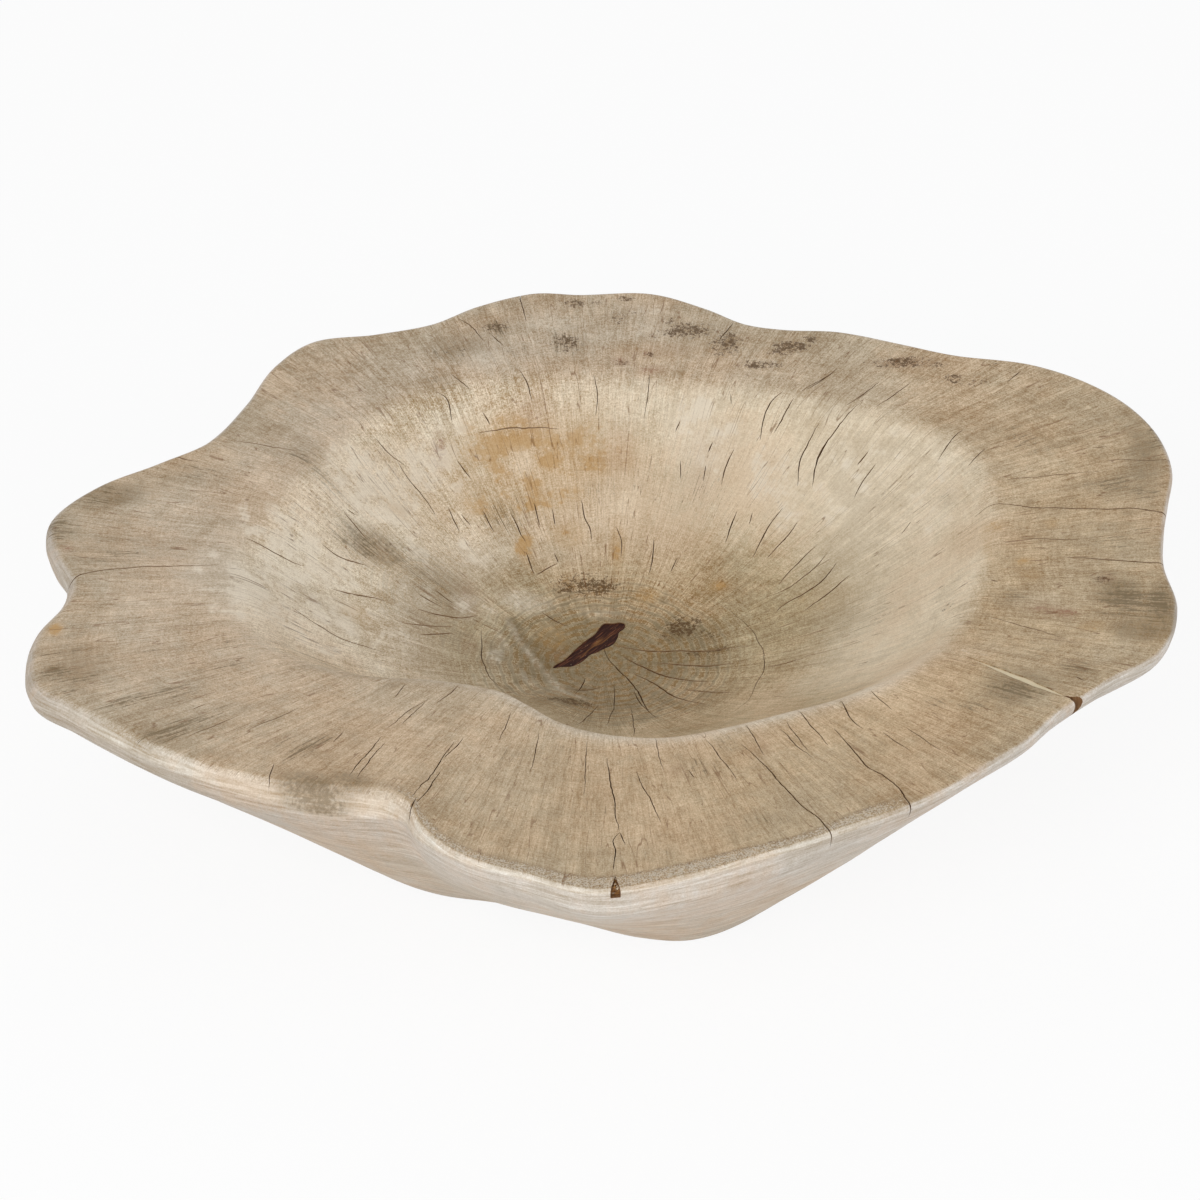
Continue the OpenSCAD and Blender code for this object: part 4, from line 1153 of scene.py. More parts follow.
def bleached_wood(form, colours):
    """Bleached end grain of a hardwood trunk, sanded and waxed.

    The eye sees fine rays that run out from the heart, growth rings that follow the lobes,
    weather stains drawn out along the rays, and a soft satin sheen.
    """
    material, tree = new_material("Bleached end grain, sanded and waxed")
    where = add(tree, "TexCoord").outputs["Object"]
    place = add(tree, "VectorMath", {0: where, "Scale": 1000.0}, operation="SCALE")
    heart = (form.heart[0], form.heart[1], 0.0)
    from_heart = add(tree, "VectorMath", {0: place, 1: heart}, operation="SUBTRACT")
    flat = add(tree, "VectorMath", {0: from_heart, 1: (1.0, 1.0, 0.0)}, operation="MULTIPLY")
    ray = add(tree, "VectorMath", {0: flat}, operation="NORMALIZE")
    masks = {
        name: add(tree, "Attribute", attribute_name=name).outputs["Fac"]
        for name in (
            "rings", "upper", "wall", "floor", "outer", "arris", "worn", "sunny", "edge", "core",
            "branch", "contrast", *STAIN_KINDS,
        )
    }

    # Patterns drawn out along the rays: cells round the heart, and cells per millimetre outwards
    drawn = {}
    for name, cells, stretch, detail, rough in (
        ("fibre", 420, 0.11, 3, 0.75), ("fine", 210, 0.05, 4, 0.7), ("broad", 60, 0.018, 4, 0.6),
        ("streak", 160, 0.045, 5, 0.75), ("pore", 300, 0.16, 2, 0.6), ("check", 40, 0.014, 1, 0.5),
        ("ring", 5, 0.75, 4, 0.75), ("wide ring", 5, 0.09, 3, 0.6), ("bend", 3, 0.02, 2, 0.5),
        ("heart ray", 95, 0.09, 4, 0.75),
    ):
        spread = add(tree, "VectorMath", {0: ray, "Scale": float(cells)}, operation="SCALE")
        out = add(tree, "Math", {0: masks["rings"], 1: stretch}, operation="MULTIPLY")
        out = add(tree, "CombineXYZ", {2: out})
        spread = add(tree, "VectorMath", {0: spread, 1: out}, operation="ADD")
        drawn[name] = add(
            tree, "TexNoise", {"Vector": spread, "Scale": 1.0, "Detail": detail, "Roughness": rough}
        )
    # Patterns that lie every way, in cells per millimetre: grit 0.8 mm, fleck 2.5 mm, and so on
    for name, cells, detail, rough in (
        ("grit", 1.2, 3, 0.75), ("fleck", 0.4, 4, 0.75), ("mottle", 0.08, 5, 0.7),
        ("cloud", 0.025, 4, 0.6), ("weather", 0.011, 4, 0.55), ("decay", 0.4, 5, 0.85),
    ):
        drawn[name] = add(
            tree, "TexNoise", {"Vector": place, "Scale": cells, "Detail": detail, "Roughness": rough}
        )

    # Tone of the end grain: the sum of the patterns, each weighed, round a middle of nought
    ring_gain = add(tree, "Math", {0: masks["core"], 1: 1.4, 2: 0.6}, operation="MULTIPLY_ADD")
    wide_gain = add(tree, "Math", {0: masks["core"], 1: 1.2, 2: 0.35}, operation="MULTIPLY_ADD")
    heart_gain = add(tree, "Math", {0: masks["core"], 1: 1.3}, operation="MULTIPLY")
    tone = 0.0
    for name, weight in (
        ("fibre", 1.2), ("fine", 0.75), ("broad", 0.65), ("grit", 2.0), ("fleck", 0.75),
        ("mottle", 0.75), ("cloud", 0.8), ("ring", ring_gain), ("wide ring", wide_gain),
        ("heart ray", heart_gain),
    ):
        part = add(tree, "Math", {0: drawn[name], 1: -0.5}, operation="ADD")
        tone = add(tree, "Math", {0: part, 1: weight, 2: tone}, operation="MULTIPLY_ADD")
    # Growth rings 5 mm apart that waver, clearest round the heart
    swing = add(tree, "Math", {0: drawn["bend"], 1: 9.0}, operation="MULTIPLY")
    swing = add(tree, "Math", {0: masks["rings"], 1: 1.15, 2: swing}, operation="MULTIPLY_ADD")
    swing = add(tree, "Math", {0: drawn["wide ring"], 1: 5.0, 2: swing}, operation="MULTIPLY_ADD")
    swing = add(tree, "Math", {0: swing}, operation="SINE")
    drawn["growth"] = add(tree, "Math", {0: swing, 1: 0.16, 2: 0.5}, operation="MULTIPLY_ADD")
    swing = add(tree, "MapRange", {"Value": swing, "From Min": -0.4, "From Max": 0.4, "To Min": -1.0})
    swing = add(tree, "Math", {0: swing, 1: masks["core"]}, operation="MULTIPLY")
    tone = add(tree, "Math", {0: swing, 1: 0.32, 2: tone}, operation="MULTIPLY_ADD")
    # Strongest round the heart, and calm on the right wall
    tone = add(tree, "Math", {0: tone, 1: masks["contrast"]}, operation="MULTIPLY")

    # Tone of the side grain: level streaks 3 to 15 mm wide, and lines 1 mm apart
    side_tone = 0.0
    for stretch, weight in (((0.012, 0.012, 0.09), 0.6), ((0.035, 0.035, 0.7), 2.2)):
        level = add(tree, "VectorMath", {0: from_heart, 1: stretch}, operation="MULTIPLY")
        level = add(
            tree, "TexNoise",
            {"Vector": level, "Scale": 1.0, "Detail": 4.0, "Roughness": 0.65, "Distortion": 0.8},
        )
        level = add(tree, "Math", {0: level, 1: -0.5}, operation="ADD")
        side_tone = add(tree, "Math", {0: level, 1: weight, 2: side_tone}, operation="MULTIPLY_ADD")
    for name, weight in (("fleck", 0.6), ("grit", 1.2)):
        part = add(tree, "Math", {0: drawn[name], 1: -0.5}, operation="ADD")
        side_tone = add(tree, "Math", {0: part, 1: weight, 2: side_tone}, operation="MULTIPLY_ADD")
    side_tone = add(tree, "Math", {0: side_tone, 1: 0.95}, operation="MULTIPLY")
    tone = add(tree, "Mix", {0: masks["upper"], 2: side_tone, 3: tone})

    # Broad tints: rim, wall, floor, places that weathered to grey or to tan, and the lower flank drawn
    # towards the wood's tone. Painted shade darkens the left of the flank, and a painted highlight,
    # partly wear, lightens the front edge and the lip
    hue = add(tree, "Math", {0: drawn["broad"], 1: 0.3, 2: drawn["weather"]}, operation="MULTIPLY_ADD")
    hue = add(tree, "Math", {0: drawn["mottle"], 1: 0.5, 2: hue}, operation="MULTIPLY_ADD")
    warm = add(tree, "MapRange", {"Value": hue, "From Min": 0.86, "From Max": 1.04})
    cold = add(tree, "MapRange", {"Value": hue, "From Min": 0.9, "From Max": 0.74})
    side = add(tree, "Math", {0: 1.0, 1: masks["upper"]}, operation="SUBTRACT")
    height = add(tree, "SeparateXYZ", {0: place}).outputs["Z"]
    height = add(tree, "Math", {0: drawn["cloud"], 1: 90.0, 2: height}, operation="MULTIPLY_ADD")
    low = add(tree, "MapRange", {"Value": height, "From Min": 150.0, "From Max": 90.0})
    low = add(tree, "Math", {0: low, 1: side}, operation="MULTIPLY")
    shady = add(tree, "Math", {0: 1.0, 1: masks["sunny"]}, operation="SUBTRACT")
    # Painted shade: the flank is darkened towards its left with the shady tone
    left = add(tree, "SeparateXYZ", {0: place}).outputs["X"]
    left = add(tree, "MapRange", {"Value": left, "From Min": -30.0, "From Max": -170.0})
    left = add(tree, "Math", {0: side, 1: left}, operation="MULTIPLY")
    wood = opaque(colours.wood)
    for value, share, shade in (
        (masks["sunny"], 0.4, colours.sunny_tone), (shady, 0.4, colours.shady_tone),
        (masks["outer"], 0.45, colours.rim_tone), (masks["wall"], 0.82, colours.wall_tone),
        (masks["floor"], 0.6, colours.floor_tone), (side, 1.0, colours.side_tone),
        # Painted shade on the left of the flank, and painted highlight, partly wear, on the front edge
        # and the lip
        (left, 1.0, colours.shady_tone), (masks["edge"], 0.6, colours.pale_bloom_and_highlight),
        (low, 0.55, colours.wood), (warm, 0.35, colours.tan_tone), (cold, 0.3, colours.grey_tone),
    ):
        part = add(tree, "Math", {0: value, 1: share}, operation="MULTIPLY")
        wood = add(tree, "Mix", {0: part, 6: wood, 7: opaque(shade)}, data_type="RGBA")
    dark = add(tree, "VectorMath", {0: wood, 1: (0.54, 0.42, 0.27)}, operation="MULTIPLY")
    light = add(tree, "VectorMath", {0: wood, 1: (1.43, 1.54, 1.72)}, operation="MULTIPLY")
    share = add(tree, "MapRange", {"Value": tone, "From Min": -0.75, "From Max": 0.75})
    wood = add(tree, "Mix", {0: share, 6: dark, 7: light}, data_type="RGBA")
    # Pores: brown dashes under 1 mm wide
    pores = add(tree, "MapRange", {"Value": drawn["pore"], "From Min": 0.62, "From Max": 0.7})
    pores = add(tree, "Math", {0: pores, 1: masks["upper"]}, operation="MULTIPLY")
    pores = add(tree, "Math", {0: pores, 1: 0.3}, operation="MULTIPLY")
    wood = add(tree, "Mix", {0: pores, 6: wood, 7: opaque(colours.torn_wood)}, data_type="RGBA")

    # Stains: a thin soft tint, and marks where a pattern rises above what the stain leaves free
    for name, pattern, other, soft, tint, share, shade in (
        ("core", "growth", "ring", 0.04, 0.0, 0.5, colours.ring_stain),
        ("core", "wide ring", "grit", 0.04, 0.0, 0.45, colours.ring_stain),
        ("branch", "ring", "mottle", 0.06, 0.0, 0.35, colours.grey_stain),
        ("grey", "streak", "fleck", 0.035, 0.1, 0.7, colours.grey_stain),
        ("ochre", "mottle", "fleck", 0.06, 0.2, 0.55, colours.ochre_stain),
        ("rust", "fleck", "streak", 0.06, 0.15, 0.6, colours.rust_stain),
        # This kind paints highlights as well as bloom
        ("bloom_and_highlight", "mottle", "streak", 0.06, 0.12, 0.5, colours.pale_bloom_and_highlight),
        ("smudge", "fleck", "grit", 0.1, 0.3, 0.45, colours.grey_stain),
        ("chalk", "fleck", "grit", 0.1, 0.12, 0.25, colours.pale_bloom_and_highlight),
        ("spalt", "decay", "mottle", 0.025, 0.03, 0.85, colours.dark_stain),
        ("arris", "decay", "mottle", 0.07, 0.1, 0.7, colours.arris_stain),
        ("worn", "fleck", "grit", 0.04, 0.2, 0.7, colours.arris_stain),
        ("worn", "grit", "decay", 0.04, 0.0, 0.55, colours.pale_bloom_and_highlight),
    ):
        value = add(tree, "Math", {0: drawn[other], 1: 0.4, 2: drawn[pattern]}, operation="MULTIPLY_ADD")
        value = add(tree, "Math", {0: masks[name], 1: 0.28, 2: value}, operation="MULTIPLY_ADD")
        value = add(tree, "MapRange", {"Value": value, "From Min": 0.9 - soft, "From Max": 0.9 + soft})
        value = add(tree, "Math", {0: value, 1: share, 2: tint}, operation="MULTIPLY_ADD")
        near = add(tree, "Math", {0: masks[name], 1: 3.0}, operation="MULTIPLY", use_clamp=True)
        value = add(tree, "Math", {0: value, 1: near}, operation="MULTIPLY")
        wood = add(tree, "Mix", {0: value, 6: wood, 7: opaque(shade)}, data_type="RGBA")

    # Hairline checks: thin lines along the rays where one level of a pattern lies
    off = add(tree, "Math", {0: drawn["check"], 1: -0.5}, operation="ADD")
    off = add(tree, "Math", {0: off}, operation="ABSOLUTE")
    hair = add(tree, "MapRange", {"Value": off, "From Min": 0.011, "From Max": 0.003})
    patch = add(tree, "MapRange", {"Value": drawn["mottle"], "From Min": 0.46, "From Max": 0.54})
    hair = add(tree, "Math", {0: hair, 1: patch}, operation="MULTIPLY")
    hair = add(tree, "Math", {0: hair, 1: masks["upper"]}, operation="MULTIPLY")
    part = add(tree, "Math", {0: hair, 1: 0.6}, operation="MULTIPLY")
    wood = add(tree, "Mix", {0: part, 6: wood, 7: opaque(colours.crack_wood_and_shade)}, data_type="RGBA")

    # Surface: fibres and rings stand a few hundredths of a millimetre proud
    relief = add(tree, "Math", {0: drawn["fine"], 1: 0.7, 2: drawn["fleck"]}, operation="MULTIPLY_ADD")
    relief = add(tree, "Math", {0: drawn["fibre"], 1: 0.6, 2: relief}, operation="MULTIPLY_ADD")
    relief = add(tree, "Math", {0: drawn["ring"], 1: 0.5, 2: relief}, operation="MULTIPLY_ADD")
    relief = add(tree, "Math", {0: hair, 1: -0.3, 2: relief}, operation="MULTIPLY_ADD")
    bump = add(tree, "Bump", {"Strength": 0.35, "Distance": 0.0006, "Height": relief})
    gloss = add(
        tree, "MapRange",
        {"Value": drawn["mottle"], "From Min": 0.35, "From Max": 0.65, "To Min": 0.44, "To Max": 0.6},
    )
    shader = add(
        tree, "BsdfPrincipled",
        {
            "Base Color": wood, "Roughness": gloss, "Normal": bump, "IOR": 1.4,
            "Specular Tint": opaque(colours.sheen),
        },
    )
    add(tree, "OutputMaterial", {"Surface": shader})
    return material


def cracked_wood(colours):
    """Inside of the drying cracks: matt, brown at the lips, and darker below, where painted shade adds to
    the old wood's dark tone.
    """
    material, tree = new_material("Crack wood with painted depth shade")
    depth = add(tree, "Attribute", attribute_name="crack_depth").outputs["Fac"]
    # Painted shade: darker with depth under the skin
    fade = add(tree, "MapRange", {"Value": depth, "From Min": 0.0, "From Max": 0.7})
    where = add(tree, "TexCoord").outputs["Object"]
    spots = add(tree, "TexNoise", {"Vector": where, "Scale": 700.0, "Detail": 3.0})
    lips = add(
        tree, "Mix", {0: spots, 6: opaque(colours.rim_tone), 7: opaque(colours.torn_wood)},
        data_type="RGBA",
    )
    shade = add(tree, "Mix", {0: fade, 6: lips, 7: opaque(colours.crack_wood_and_shade)}, data_type="RGBA")
    shader = add(tree, "BsdfPrincipled", {"Base Color": shade, "Roughness": 0.85, "IOR": 1.45})
    add(tree, "OutputMaterial", {"Surface": shader})
    return material


def torn_wood(colours):
    """Torn wood in the open notch: upright brown fibres, matt and rough."""
    material, tree = new_material("Torn wood with upright fibres")
    where = add(tree, "TexCoord").outputs["Object"]
    # Strands about 1 mm wide that run 10 mm up and down
    strands = add(tree, "VectorMath", {0: where, 1: (1100.0, 1100.0, 90.0)}, operation="MULTIPLY")
    strands = add(tree, "TexNoise", {"Vector": strands, "Scale": 1.0, "Detail": 4.0, "Roughness": 0.65})
    share = add(tree, "MapRange", {"Value": strands, "From Min": 0.35, "From Max": 0.65})
    shade = add(
        tree, "Mix", {0: share, 6: opaque(colours.crack_wood_and_shade), 7: opaque(colours.torn_wood)},
        data_type="RGBA",
    )
    bump = add(tree, "Bump", {"Strength": 0.7, "Distance": 0.0006, "Height": strands})
    shader = add(
        tree, "BsdfPrincipled",
        {"Base Color": shade, "Roughness": 0.9, "Normal": bump, "IOR": 1.45},
    )
    add(tree, "OutputMaterial", {"Surface": shader})
    return material


def dark_filler(colours):
    """Tinted resin filler, scraped along the void.

    It is a near black brown with fine stripes, an amber streak and a satin gloss.
    """
    material, tree = new_material("Tinted resin filler, scraped")
    where = add(tree, "TexCoord").outputs["Object"]
    turn = (0.0, 0.0, np.radians(HEART_VOID_TURN))
    turned = add(tree, "Mapping", {"Vector": where, "Rotation": turn}, vector_type="TEXTURE")
    # Scrape marks 0.7 mm wide and a centimetre long
    marks = add(tree, "VectorMath", {0: turned, 1: (110.0, 1500.0, 300.0)}, operation="MULTIPLY")
    marks = add(tree, "TexNoise", {"Vector": marks, "Scale": 1.0, "Detail": 4.0, "Roughness": 0.6})
    share = add(tree, "MapRange", {"Value": marks, "From Min": 0.5, "From Max": 0.7})
    shade = add(
        tree, "Mix", {0: share, 6: opaque(colours.filler), 7: opaque(colours.scraped_filler)},
        data_type="RGBA",
    )
    streak = add(tree, "Attribute", attribute_name="amber").outputs["Fac"]
    shade = add(tree, "Mix", {0: streak, 6: shade, 7: opaque(colours.amber)}, data_type="RGBA")
    dust = add(tree, "TexNoise", {"Vector": where, "Scale": 900.0, "Detail": 1.0})
    dust = add(tree, "MapRange", {"Value": dust, "From Min": 0.72, "From Max": 0.78, "To Max": 0.5})
    shade = add(tree, "Mix", {0: dust, 6: shade, 7: opaque(colours.rim_tone)}, data_type="RGBA")
    bump = add(tree, "Bump", {"Strength": 0.4, "Distance": 0.0004, "Height": marks})
    shader = add(
        tree, "BsdfPrincipled", {"Base Color": shade, "Roughness": 0.66, "Normal": bump, "IOR": 1.2}
    )
    add(tree, "OutputMaterial", {"Surface": shader})
    return material


def wood_putty(colours):
    """Wood putty sanded flush: paler and smoother than the wood, matt, with a few dark grains."""
    material, tree = new_material("Wood putty, sanded flush")
    where = add(tree, "TexCoord").outputs["Object"]
    cloud = add(tree, "TexNoise", {"Vector": where, "Scale": 90.0, "Detail": 3.0})
    shade = add(
        tree, "Mix", {0: cloud, 6: opaque(colours.putty), 7: opaque(colours.wall_tone)},
        data_type="RGBA",
    )
    grains = add(tree, "TexNoise", {"Vector": where, "Scale": 900.0, "Detail": 2.0})
    share = add(tree, "MapRange", {"Value": grains, "From Min": 0.62, "From Max": 0.75, "To Max": 0.35})
    shade = add(tree, "Mix", {0: share, 6: shade, 7: opaque(colours.rim_tone)}, data_type="RGBA")
    bump = add(tree, "Bump", {"Strength": 0.2, "Distance": 0.0003, "Height": grains})
    shader = add(
        tree, "BsdfPrincipled", {"Base Color": shade, "Roughness": 0.7, "Normal": bump, "IOR": 1.45}
    )
    add(tree, "OutputMaterial", {"Surface": shader})
    return material


def crumbled_wood(colours):
    """Crumbled heartwood and sawdust: warm brown and pale grains, dull and rough."""
    material, tree = new_material("Crumbled wood and dust")
    where = add(tree, "TexCoord").outputs["Object"]
    grains = add(tree, "TexNoise", {"Vector": where, "Scale": 650.0, "Detail": 4.0, "Roughness": 0.7})
    share = add(tree, "MapRange", {"Value": grains, "From Min": 0.38, "From Max": 0.62})
    shade = add(
        tree, "Mix", {0: share, 6: opaque(colours.crack_wood_and_shade), 7: opaque(colours.crumb)},
        data_type="RGBA",
    )
    light = add(tree, "TexNoise", {"Vector": where, "Scale": 420.0, "Detail": 3.0})
    light = add(tree, "MapRange", {"Value": light, "From Min": 0.5, "From Max": 0.62})
    shade = add(tree, "Mix", {0: light, 6: shade, 7: opaque(colours.wall_tone)}, data_type="RGBA")
    bump = add(tree, "Bump", {"Strength": 0.8, "Distance": 0.0005, "Height": grains})
    shader = add(
        tree, "BsdfPrincipled",
        {"Base Color": shade, "Roughness": 0.92, "Normal": bump, "IOR": 1.45},
    )
    add(tree, "OutputMaterial", {"Surface": shader})
    return material


def fill_block(form, place, turn, size, spacing, low, relief):
    """A closed block under the filling's own surface, turned to lie along its void."""
    nx, ny = (int(np.ceil(s / spacing)) for s in size)
    # Shifted a little, so that the grid and the outline share no points
    shift_u, shift_v = 0.11, 0.07
    u, v = np.meshgrid(
        size[0] * (np.arange(nx + 1) / nx - 0.5) + shift_u,
        size[1] * (np.arange(ny + 1) / ny - 0.5) + shift_v,
    )
    plan = placed(np.column_stack([u.ravel(), v.ravel()]), place, turn)
    top = form.top_at(plan[:, 0], plan[:, 1]) - form.fill_recess
    top -= np.array([relief(a, b) for a, b in zip(u.ravel(), v.ravel())])
    count = len(plan)
    points = np.vstack([np.column_stack([plan, top]), np.column_stack([plan, np.full(count, low)])])
    w = nx + 1
    cells = [j * w + i for j in range(ny) for i in range(nx)]
    faces = [(c, c + 1, c + w + 1, c + w) for c in cells]
    faces += [(count + c, count + c + w, count + c + w + 1, count + c + 1) for c in cells]
    walk = [i for i in range(nx)] + [j * w + nx for j in range(ny)]
    walk += [ny * w + i for i in range(nx, 0, -1)] + [j * w for j in range(ny, 0, -1)]
    for i, here in enumerate(walk):
        there = walk[(i + 1) % len(walk)]
        faces.append((here, count + here, count + there, there))
    return points, faces


def filling(form, name, material, void, block, relief):
    """A filling: a block under the filling's own surface, of which the part in its void is kept."""
    outline, low = void
    place, turn, size, spacing = block
    points, faces = fill_block(form, place, turn, size, spacing, low - 3, relief)
    piece = new_piece(name, points, faces, [material])
    # The filling stays a hair above the void's floor
    tool = new_piece("tool", *prism(outline, low + 0.02, form.height + 3), [])
    combine(piece, tool, "INTERSECT")
    return piece


def dress(piece, node):
    """Puts a finished piece in the place of a CAD node."""
    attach(piece, "root")
    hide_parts(node)


class BowlOperator:
    """What the operators share."""

    bl_options = {"REGISTER", "UNDO"}

    def form(self, context):
        """The surface that the sizes in the panel give."""
        return BowlForm(context.scene.bowl_sizes)


class BOWL_OT_wood(BowlOperator, bpy.types.Operator):
    """Build the carved wood with its cracks, voids and notch"""

    bl_idname = "bowl.wood"
    bl_label = "Carved Wood"

    def execute(self, context):
        form, colours = self.form(context), context.scene.bowl_colours
        chance = random.Random(CRACK_SEED)
        materials = [bleached_wood(form, colours), cracked_wood(colours), torn_wood(colours)]
        points, faces = block_mesh(form)
        piece = new_piece("bowl_wood", points, faces, materials)
        high = form.height + 5
        heart, _ = heart_outline(form)
        split, _ = split_outline(form)
        past_edge = 6
        front = wedge_outline(
            form, FRONT_SPLIT_BEARING, form.front_width, form.front_length, past_edge
        )
        # Each tool ends with the number of the material that its cut faces get
        tools = [
            (*prism(heart, form.floor_thickness - form.heart_void_depth, high), 1),
            (*prism(anticlockwise(split), form.height - form.split_depth, high), 0),
            (*prism(front, form.height - form.front_depth, high), 2),
            (*notch_tool(form, chance), 2),
        ]
        for width, depth, runs_out, *pixels in CRACKS:
            places = form.seen_at(pixels)
            tools.append((*crack_tool(form, width, depth, runs_out, places, chance), 1))
        carve(piece, tools, materials)
        paint_masks(piece, form)
        finish_shading(piece, WOOD_CREASE)
        dress(piece, "bowl_body")
        return {"FINISHED"}


class BOWL_OT_heart_filling(BowlOperator, bpy.types.Operator):
    """Build the dark filler in the void at the heart"""

    bl_idname = "bowl.heart_filling"
    bl_label = "Heart Filling"

    def execute(self, context):
        form, colours = self.form(context), context.scene.bowl_colours
        outline, place = heart_outline(form)
        low = form.floor_thickness - form.heart_void_depth

        def relief(u, v):
            # Scraped ridges along the void, and soft lumps
            return 0.22 + 0.22 * wavy(u / 9, v / 1.1, 3.3) + 0.2 * wavy(u / 5, v / 5, 8.1)

        shrunk = place + (outline - place) * 0.996
        size = (form.heart_void_length + 4, form.heart_void_width + 4)
        piece = filling(
            form, "heart_filling", dark_filler(colours), (shrunk, low),
            (place, HEART_VOID_TURN, size, 0.5), relief,
        )
        mesh = piece.data
        co = np.array([v.co for v in mesh.vertices]) * 1000
        u = (co[:, :2] - place) @ turn_of(HEART_VOID_TURN)
        v = (co[:, :2] - place) @ turn_of(HEART_VOID_TURN + 90)
        # The amber streak: a thin line that wanders along the void, and one wider spot on it
        wander = np.array([1.6 * wavy(a / 8, 1.5, 0) for a in u])
        line = np.exp(-((v - wander + 0.8) / 0.3) ** 2) * plateau(-14, -4, 12, 20, u)
        spot = np.exp(-((u - 7) / 3.5) ** 2 - ((v - 0.6) / 0.9) ** 2)
        layer = mesh.attributes.new("amber", "FLOAT", "POINT")
        layer.data.foreach_set("value", np.clip(0.6 * line + 0.8 * spot, 0, 1).astype(np.float32))
        finish_shading(piece, FILLING_CREASE)
        dress(piece, "heart_fill")
        return {"FINISHED"}


class BOWL_OT_split_putty(BowlOperator, bpy.types.Operator):
    """Build the pale putty in the side split"""

    bl_idname = "bowl.split_putty"
    bl_label = "Split Putty"

    def execute(self, context):
        form, colours = self.form(context), context.scene.bowl_colours
        outline, place = split_outline(form)
        low = form.height - form.split_depth

        def relief(u, v):
            return 0.12 + 0.12 * wavy(u / 6, v / 2, 5.5)

        size = (form.split_length + 4, form.split_width + 4)
        piece = filling(
            form, "split_putty", wood_putty(colours), (anticlockwise(outline), low),
            (place, SPLIT_TURN, size, 0.8), relief,
        )
        finish_shading(piece, FILLING_CREASE)
        dress(piece, "side_fill")
        return {"FINISHED"}


class BOWL_OT_front_crumbs(BowlOperator, bpy.types.Operator):
    """Build the crumbled wood in the front split"""

    bl_idname = "bowl.front_crumbs"
    bl_label = "Front Crumbs"

    def execute(self, context):
        form, colours = self.form(context), context.scene.bowl_colours
        chance = random.Random(CRUMB_SEED)
        reach, back = form.front_length, form.front_set_back
        edge = form.rim(FRONT_SPLIT_BEARING)
        place = form.heart + (edge - reach / 2) * turn_of(FRONT_SPLIT_BEARING)
        low = form.height - form.front_depth

        def relief(u, v):
            return 1.1 + 1.0 * wavy(u / 1.6, v / 1.6, 2.5)

        outline = wedge_outline(form, FRONT_SPLIT_BEARING, form.front_width, reach, -back)
        piece = filling(
            form, "front_crumbs", crumbled_wood(colours), (outline, low),
            (place, FRONT_SPLIT_BEARING, (reach + 3, form.front_width + 3), 0.3), relief,
        )
        shape = bmesh.new()
        shape.from_mesh(piece.data)
        for _ in range(CRUMBS):
            along = reach * chance.uniform(0.22, 1) - back * 0.9
            along = min(max(along, 1.5), reach - back - 0.5)
            half = form.front_width / 2 / reach * along
            size = chance.uniform(0.25, 0.6)
            aside = chance.uniform(-1, 1) * max(half - size, 0)
            plan = placed([(edge - reach + along, aside)], form.heart, FRONT_SPLIT_BEARING)[0]
            z = form.top_at(*plan) - form.fill_recess - size - chance.uniform(0, 1.1)
            made = bmesh.ops.create_icosphere(shape, subdivisions=2, radius=size / 1000)
            for vertex in made["verts"]:
                bend = 1 + 0.35 * noise.noise(vertex.co * 2600 + Vector((along, aside, z)))
                vertex.co = vertex.co * bend + Vector((plan[0], plan[1], z)) / 1000
        shape.to_mesh(piece.data)
        shape.free()
        finish_shading(piece, CRUMB_CREASE)
        dress(piece, "front_fill")
        return {"FINISHED"}


def sees_white(tree):
    """One where the eye looks, straight or in a reflection, and nought for the light itself."""
    path = add(tree, "LightPath")
    seen = path.outputs["Is Camera Ray"]
    for ray in ("Is Glossy Ray", "Is Transmission Ray"):
        seen = add(tree, "Math", {0: seen, 1: path.outputs[ray]}, operation="MAXIMUM")
    return seen


def white_sweep():
    """White paper sweep: seen as plain white, with the object's soft shadow kept."""
    material, tree = new_material("White paper sweep")
    paper = add(tree, "BsdfDiffuse", {"Color": opaque(linear("#F2F2F2"))})
    glow = add(tree, "Emission", {"Color": (1.0, 1.0, 1.0, 1.0), "Strength": 1.0})
    share = add(tree, "Math", {0: sees_white(tree), 1: 0.9}, operation="MULTIPLY")
    add(tree, "OutputMaterial", {"Surface": add(tree, "MixShader", {0: share, 1: paper, 2: glow})})
    return material


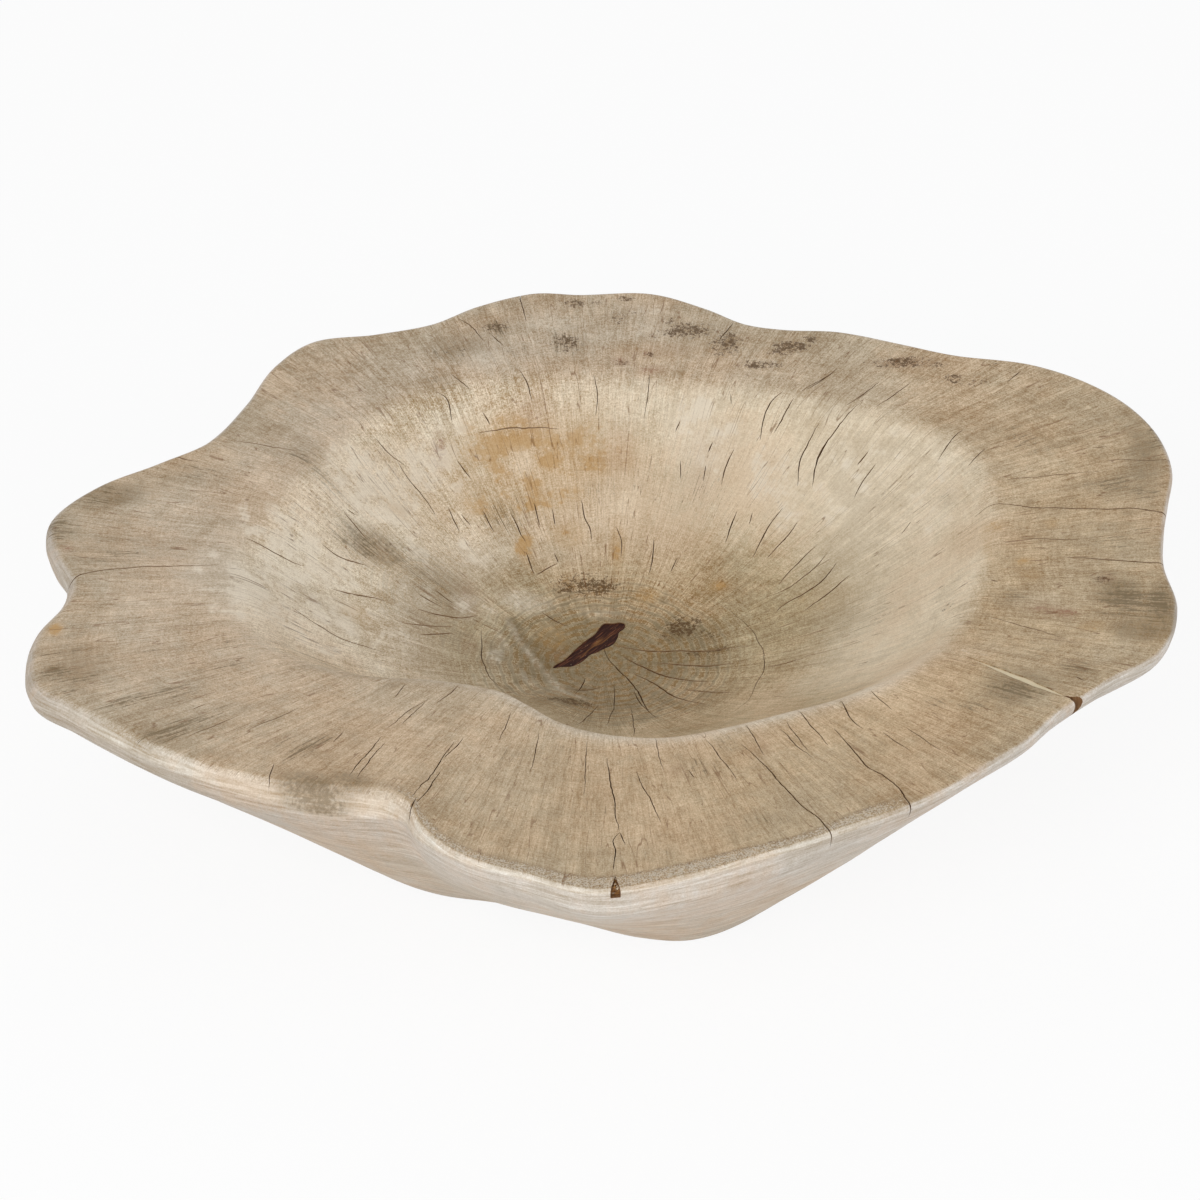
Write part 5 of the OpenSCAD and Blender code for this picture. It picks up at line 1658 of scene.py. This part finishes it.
class BOWL_OT_stage(BowlOperator, bpy.types.Operator):
    """Set the white floor, the soft lamps and the camera"""

    bl_idname = "bowl.stage"
    bl_label = "Stage"

    def execute(self, context):
        scene = context.scene
        scene.view_settings.view_transform = "Standard"
        reach, drop = 6000, 0.3
        corners = [
            (x * reach, y * reach, -drop) for x, y in ((-1, -1), (1, -1), (1, 1), (-1, 1))
        ]
        floor = new_piece("floor", corners, [(0, 1, 2, 3)], [white_sweep()])
        world = bpy.data.worlds.new("soft white room")
        scene.world = world
        world.use_nodes = True
        tree = world.node_tree
        tree.nodes.clear()
        room = add(tree, "Background", {"Color": opaque(linear("#F4F5F7")), "Strength": 0.5})
        white = add(tree, "Background", {"Color": (1.0, 1.0, 1.0, 1.0), "Strength": 1.0})
        mixed = add(tree, "MixShader", {0: sees_white(tree), 1: room, 2: white})
        add(tree, "OutputWorld", {"Surface": mixed})
        # Softboxes: place and width in metres, and power in watts. All look at the bowl's middle
        middle = Vector((0, 0, 0.08))
        for name, place, size, energy in (
            ("key softbox", (-1.0, -1.95, 1.6), 1.4, 34.5),
            ("right softbox", (2.0, -1.2, 1.2), 1.2, 11),
            ("back softbox", (0.2, 2.2, 1.9), 1.8, 10),
        ):
            light = bpy.data.lights.new(name, "AREA")
            light.size = size
            light.energy = energy
            lamp = bpy.data.objects.new(name, light)
            lamp.location = place
            lamp.rotation_euler = (middle - lamp.location).to_track_quat("-Z", "Y").to_euler()
            scene.collection.objects.link(lamp)
        data = bpy.data.cameras.new("camera")
        data.sensor_width = SENSOR
        data.lens = LENS
        data.clip_end = 30
        camera = bpy.data.objects.new("camera", data)
        rise = np.radians(VIEW_RISE)
        back = VIEW_DISTANCE * Vector((0, -np.cos(rise), np.sin(rise)))
        camera.location = (Vector(VIEW_TARGET) + back) / 1000
        camera.rotation_euler = (np.radians(90) - rise, 0, 0)
        scene.collection.objects.link(camera)
        scene.camera = camera
        return {"FINISHED"}


class BOWL_PT_panel(bpy.types.Panel):
    """Sizes, colours and pieces of the bowl"""

    bl_idname = "BOWL_PT_panel"
    bl_label = "Trunk Bowl"
    bl_space_type = "VIEW_3D"
    bl_region_type = "UI"
    bl_category = "Trunk Bowl"

    def draw(self, context):
        scene = context.scene
        for title, group in (("Sizes", scene.bowl_sizes), ("Colours", scene.bowl_colours)):
            box = self.layout.box()
            box.label(text=title)
            for name in group.__annotations__:
                box.prop(group, name)
        for operator in PIECES:
            self.layout.operator(operator.bl_idname)


PIECES = (
    BOWL_OT_wood, BOWL_OT_heart_filling, BOWL_OT_split_putty, BOWL_OT_front_crumbs, BOWL_OT_stage
)
CLASSES = (BowlSizes, BowlColours, *PIECES, BOWL_PT_panel)


def register():
    """Makes the add-on's classes and settings known."""
    for cls in CLASSES:
        bpy.utils.register_class(cls)
    bpy.types.Scene.bowl_sizes = bpy.props.PointerProperty(type=BowlSizes)
    bpy.types.Scene.bowl_colours = bpy.props.PointerProperty(type=BowlColours)


def unregister():
    """Takes them away again."""
    del bpy.types.Scene.bowl_colours
    del bpy.types.Scene.bowl_sizes
    for cls in reversed(CLASSES):
        bpy.utils.unregister_class(cls)


def main():
    """Builds the pieces and the stage in order."""
    register()
    bpy.ops.bowl.wood()
    bpy.ops.bowl.heart_filling()
    bpy.ops.bowl.split_putty()
    bpy.ops.bowl.front_crumbs()
    bpy.ops.bowl.stage()


if __name__ == "__main__":
    main()
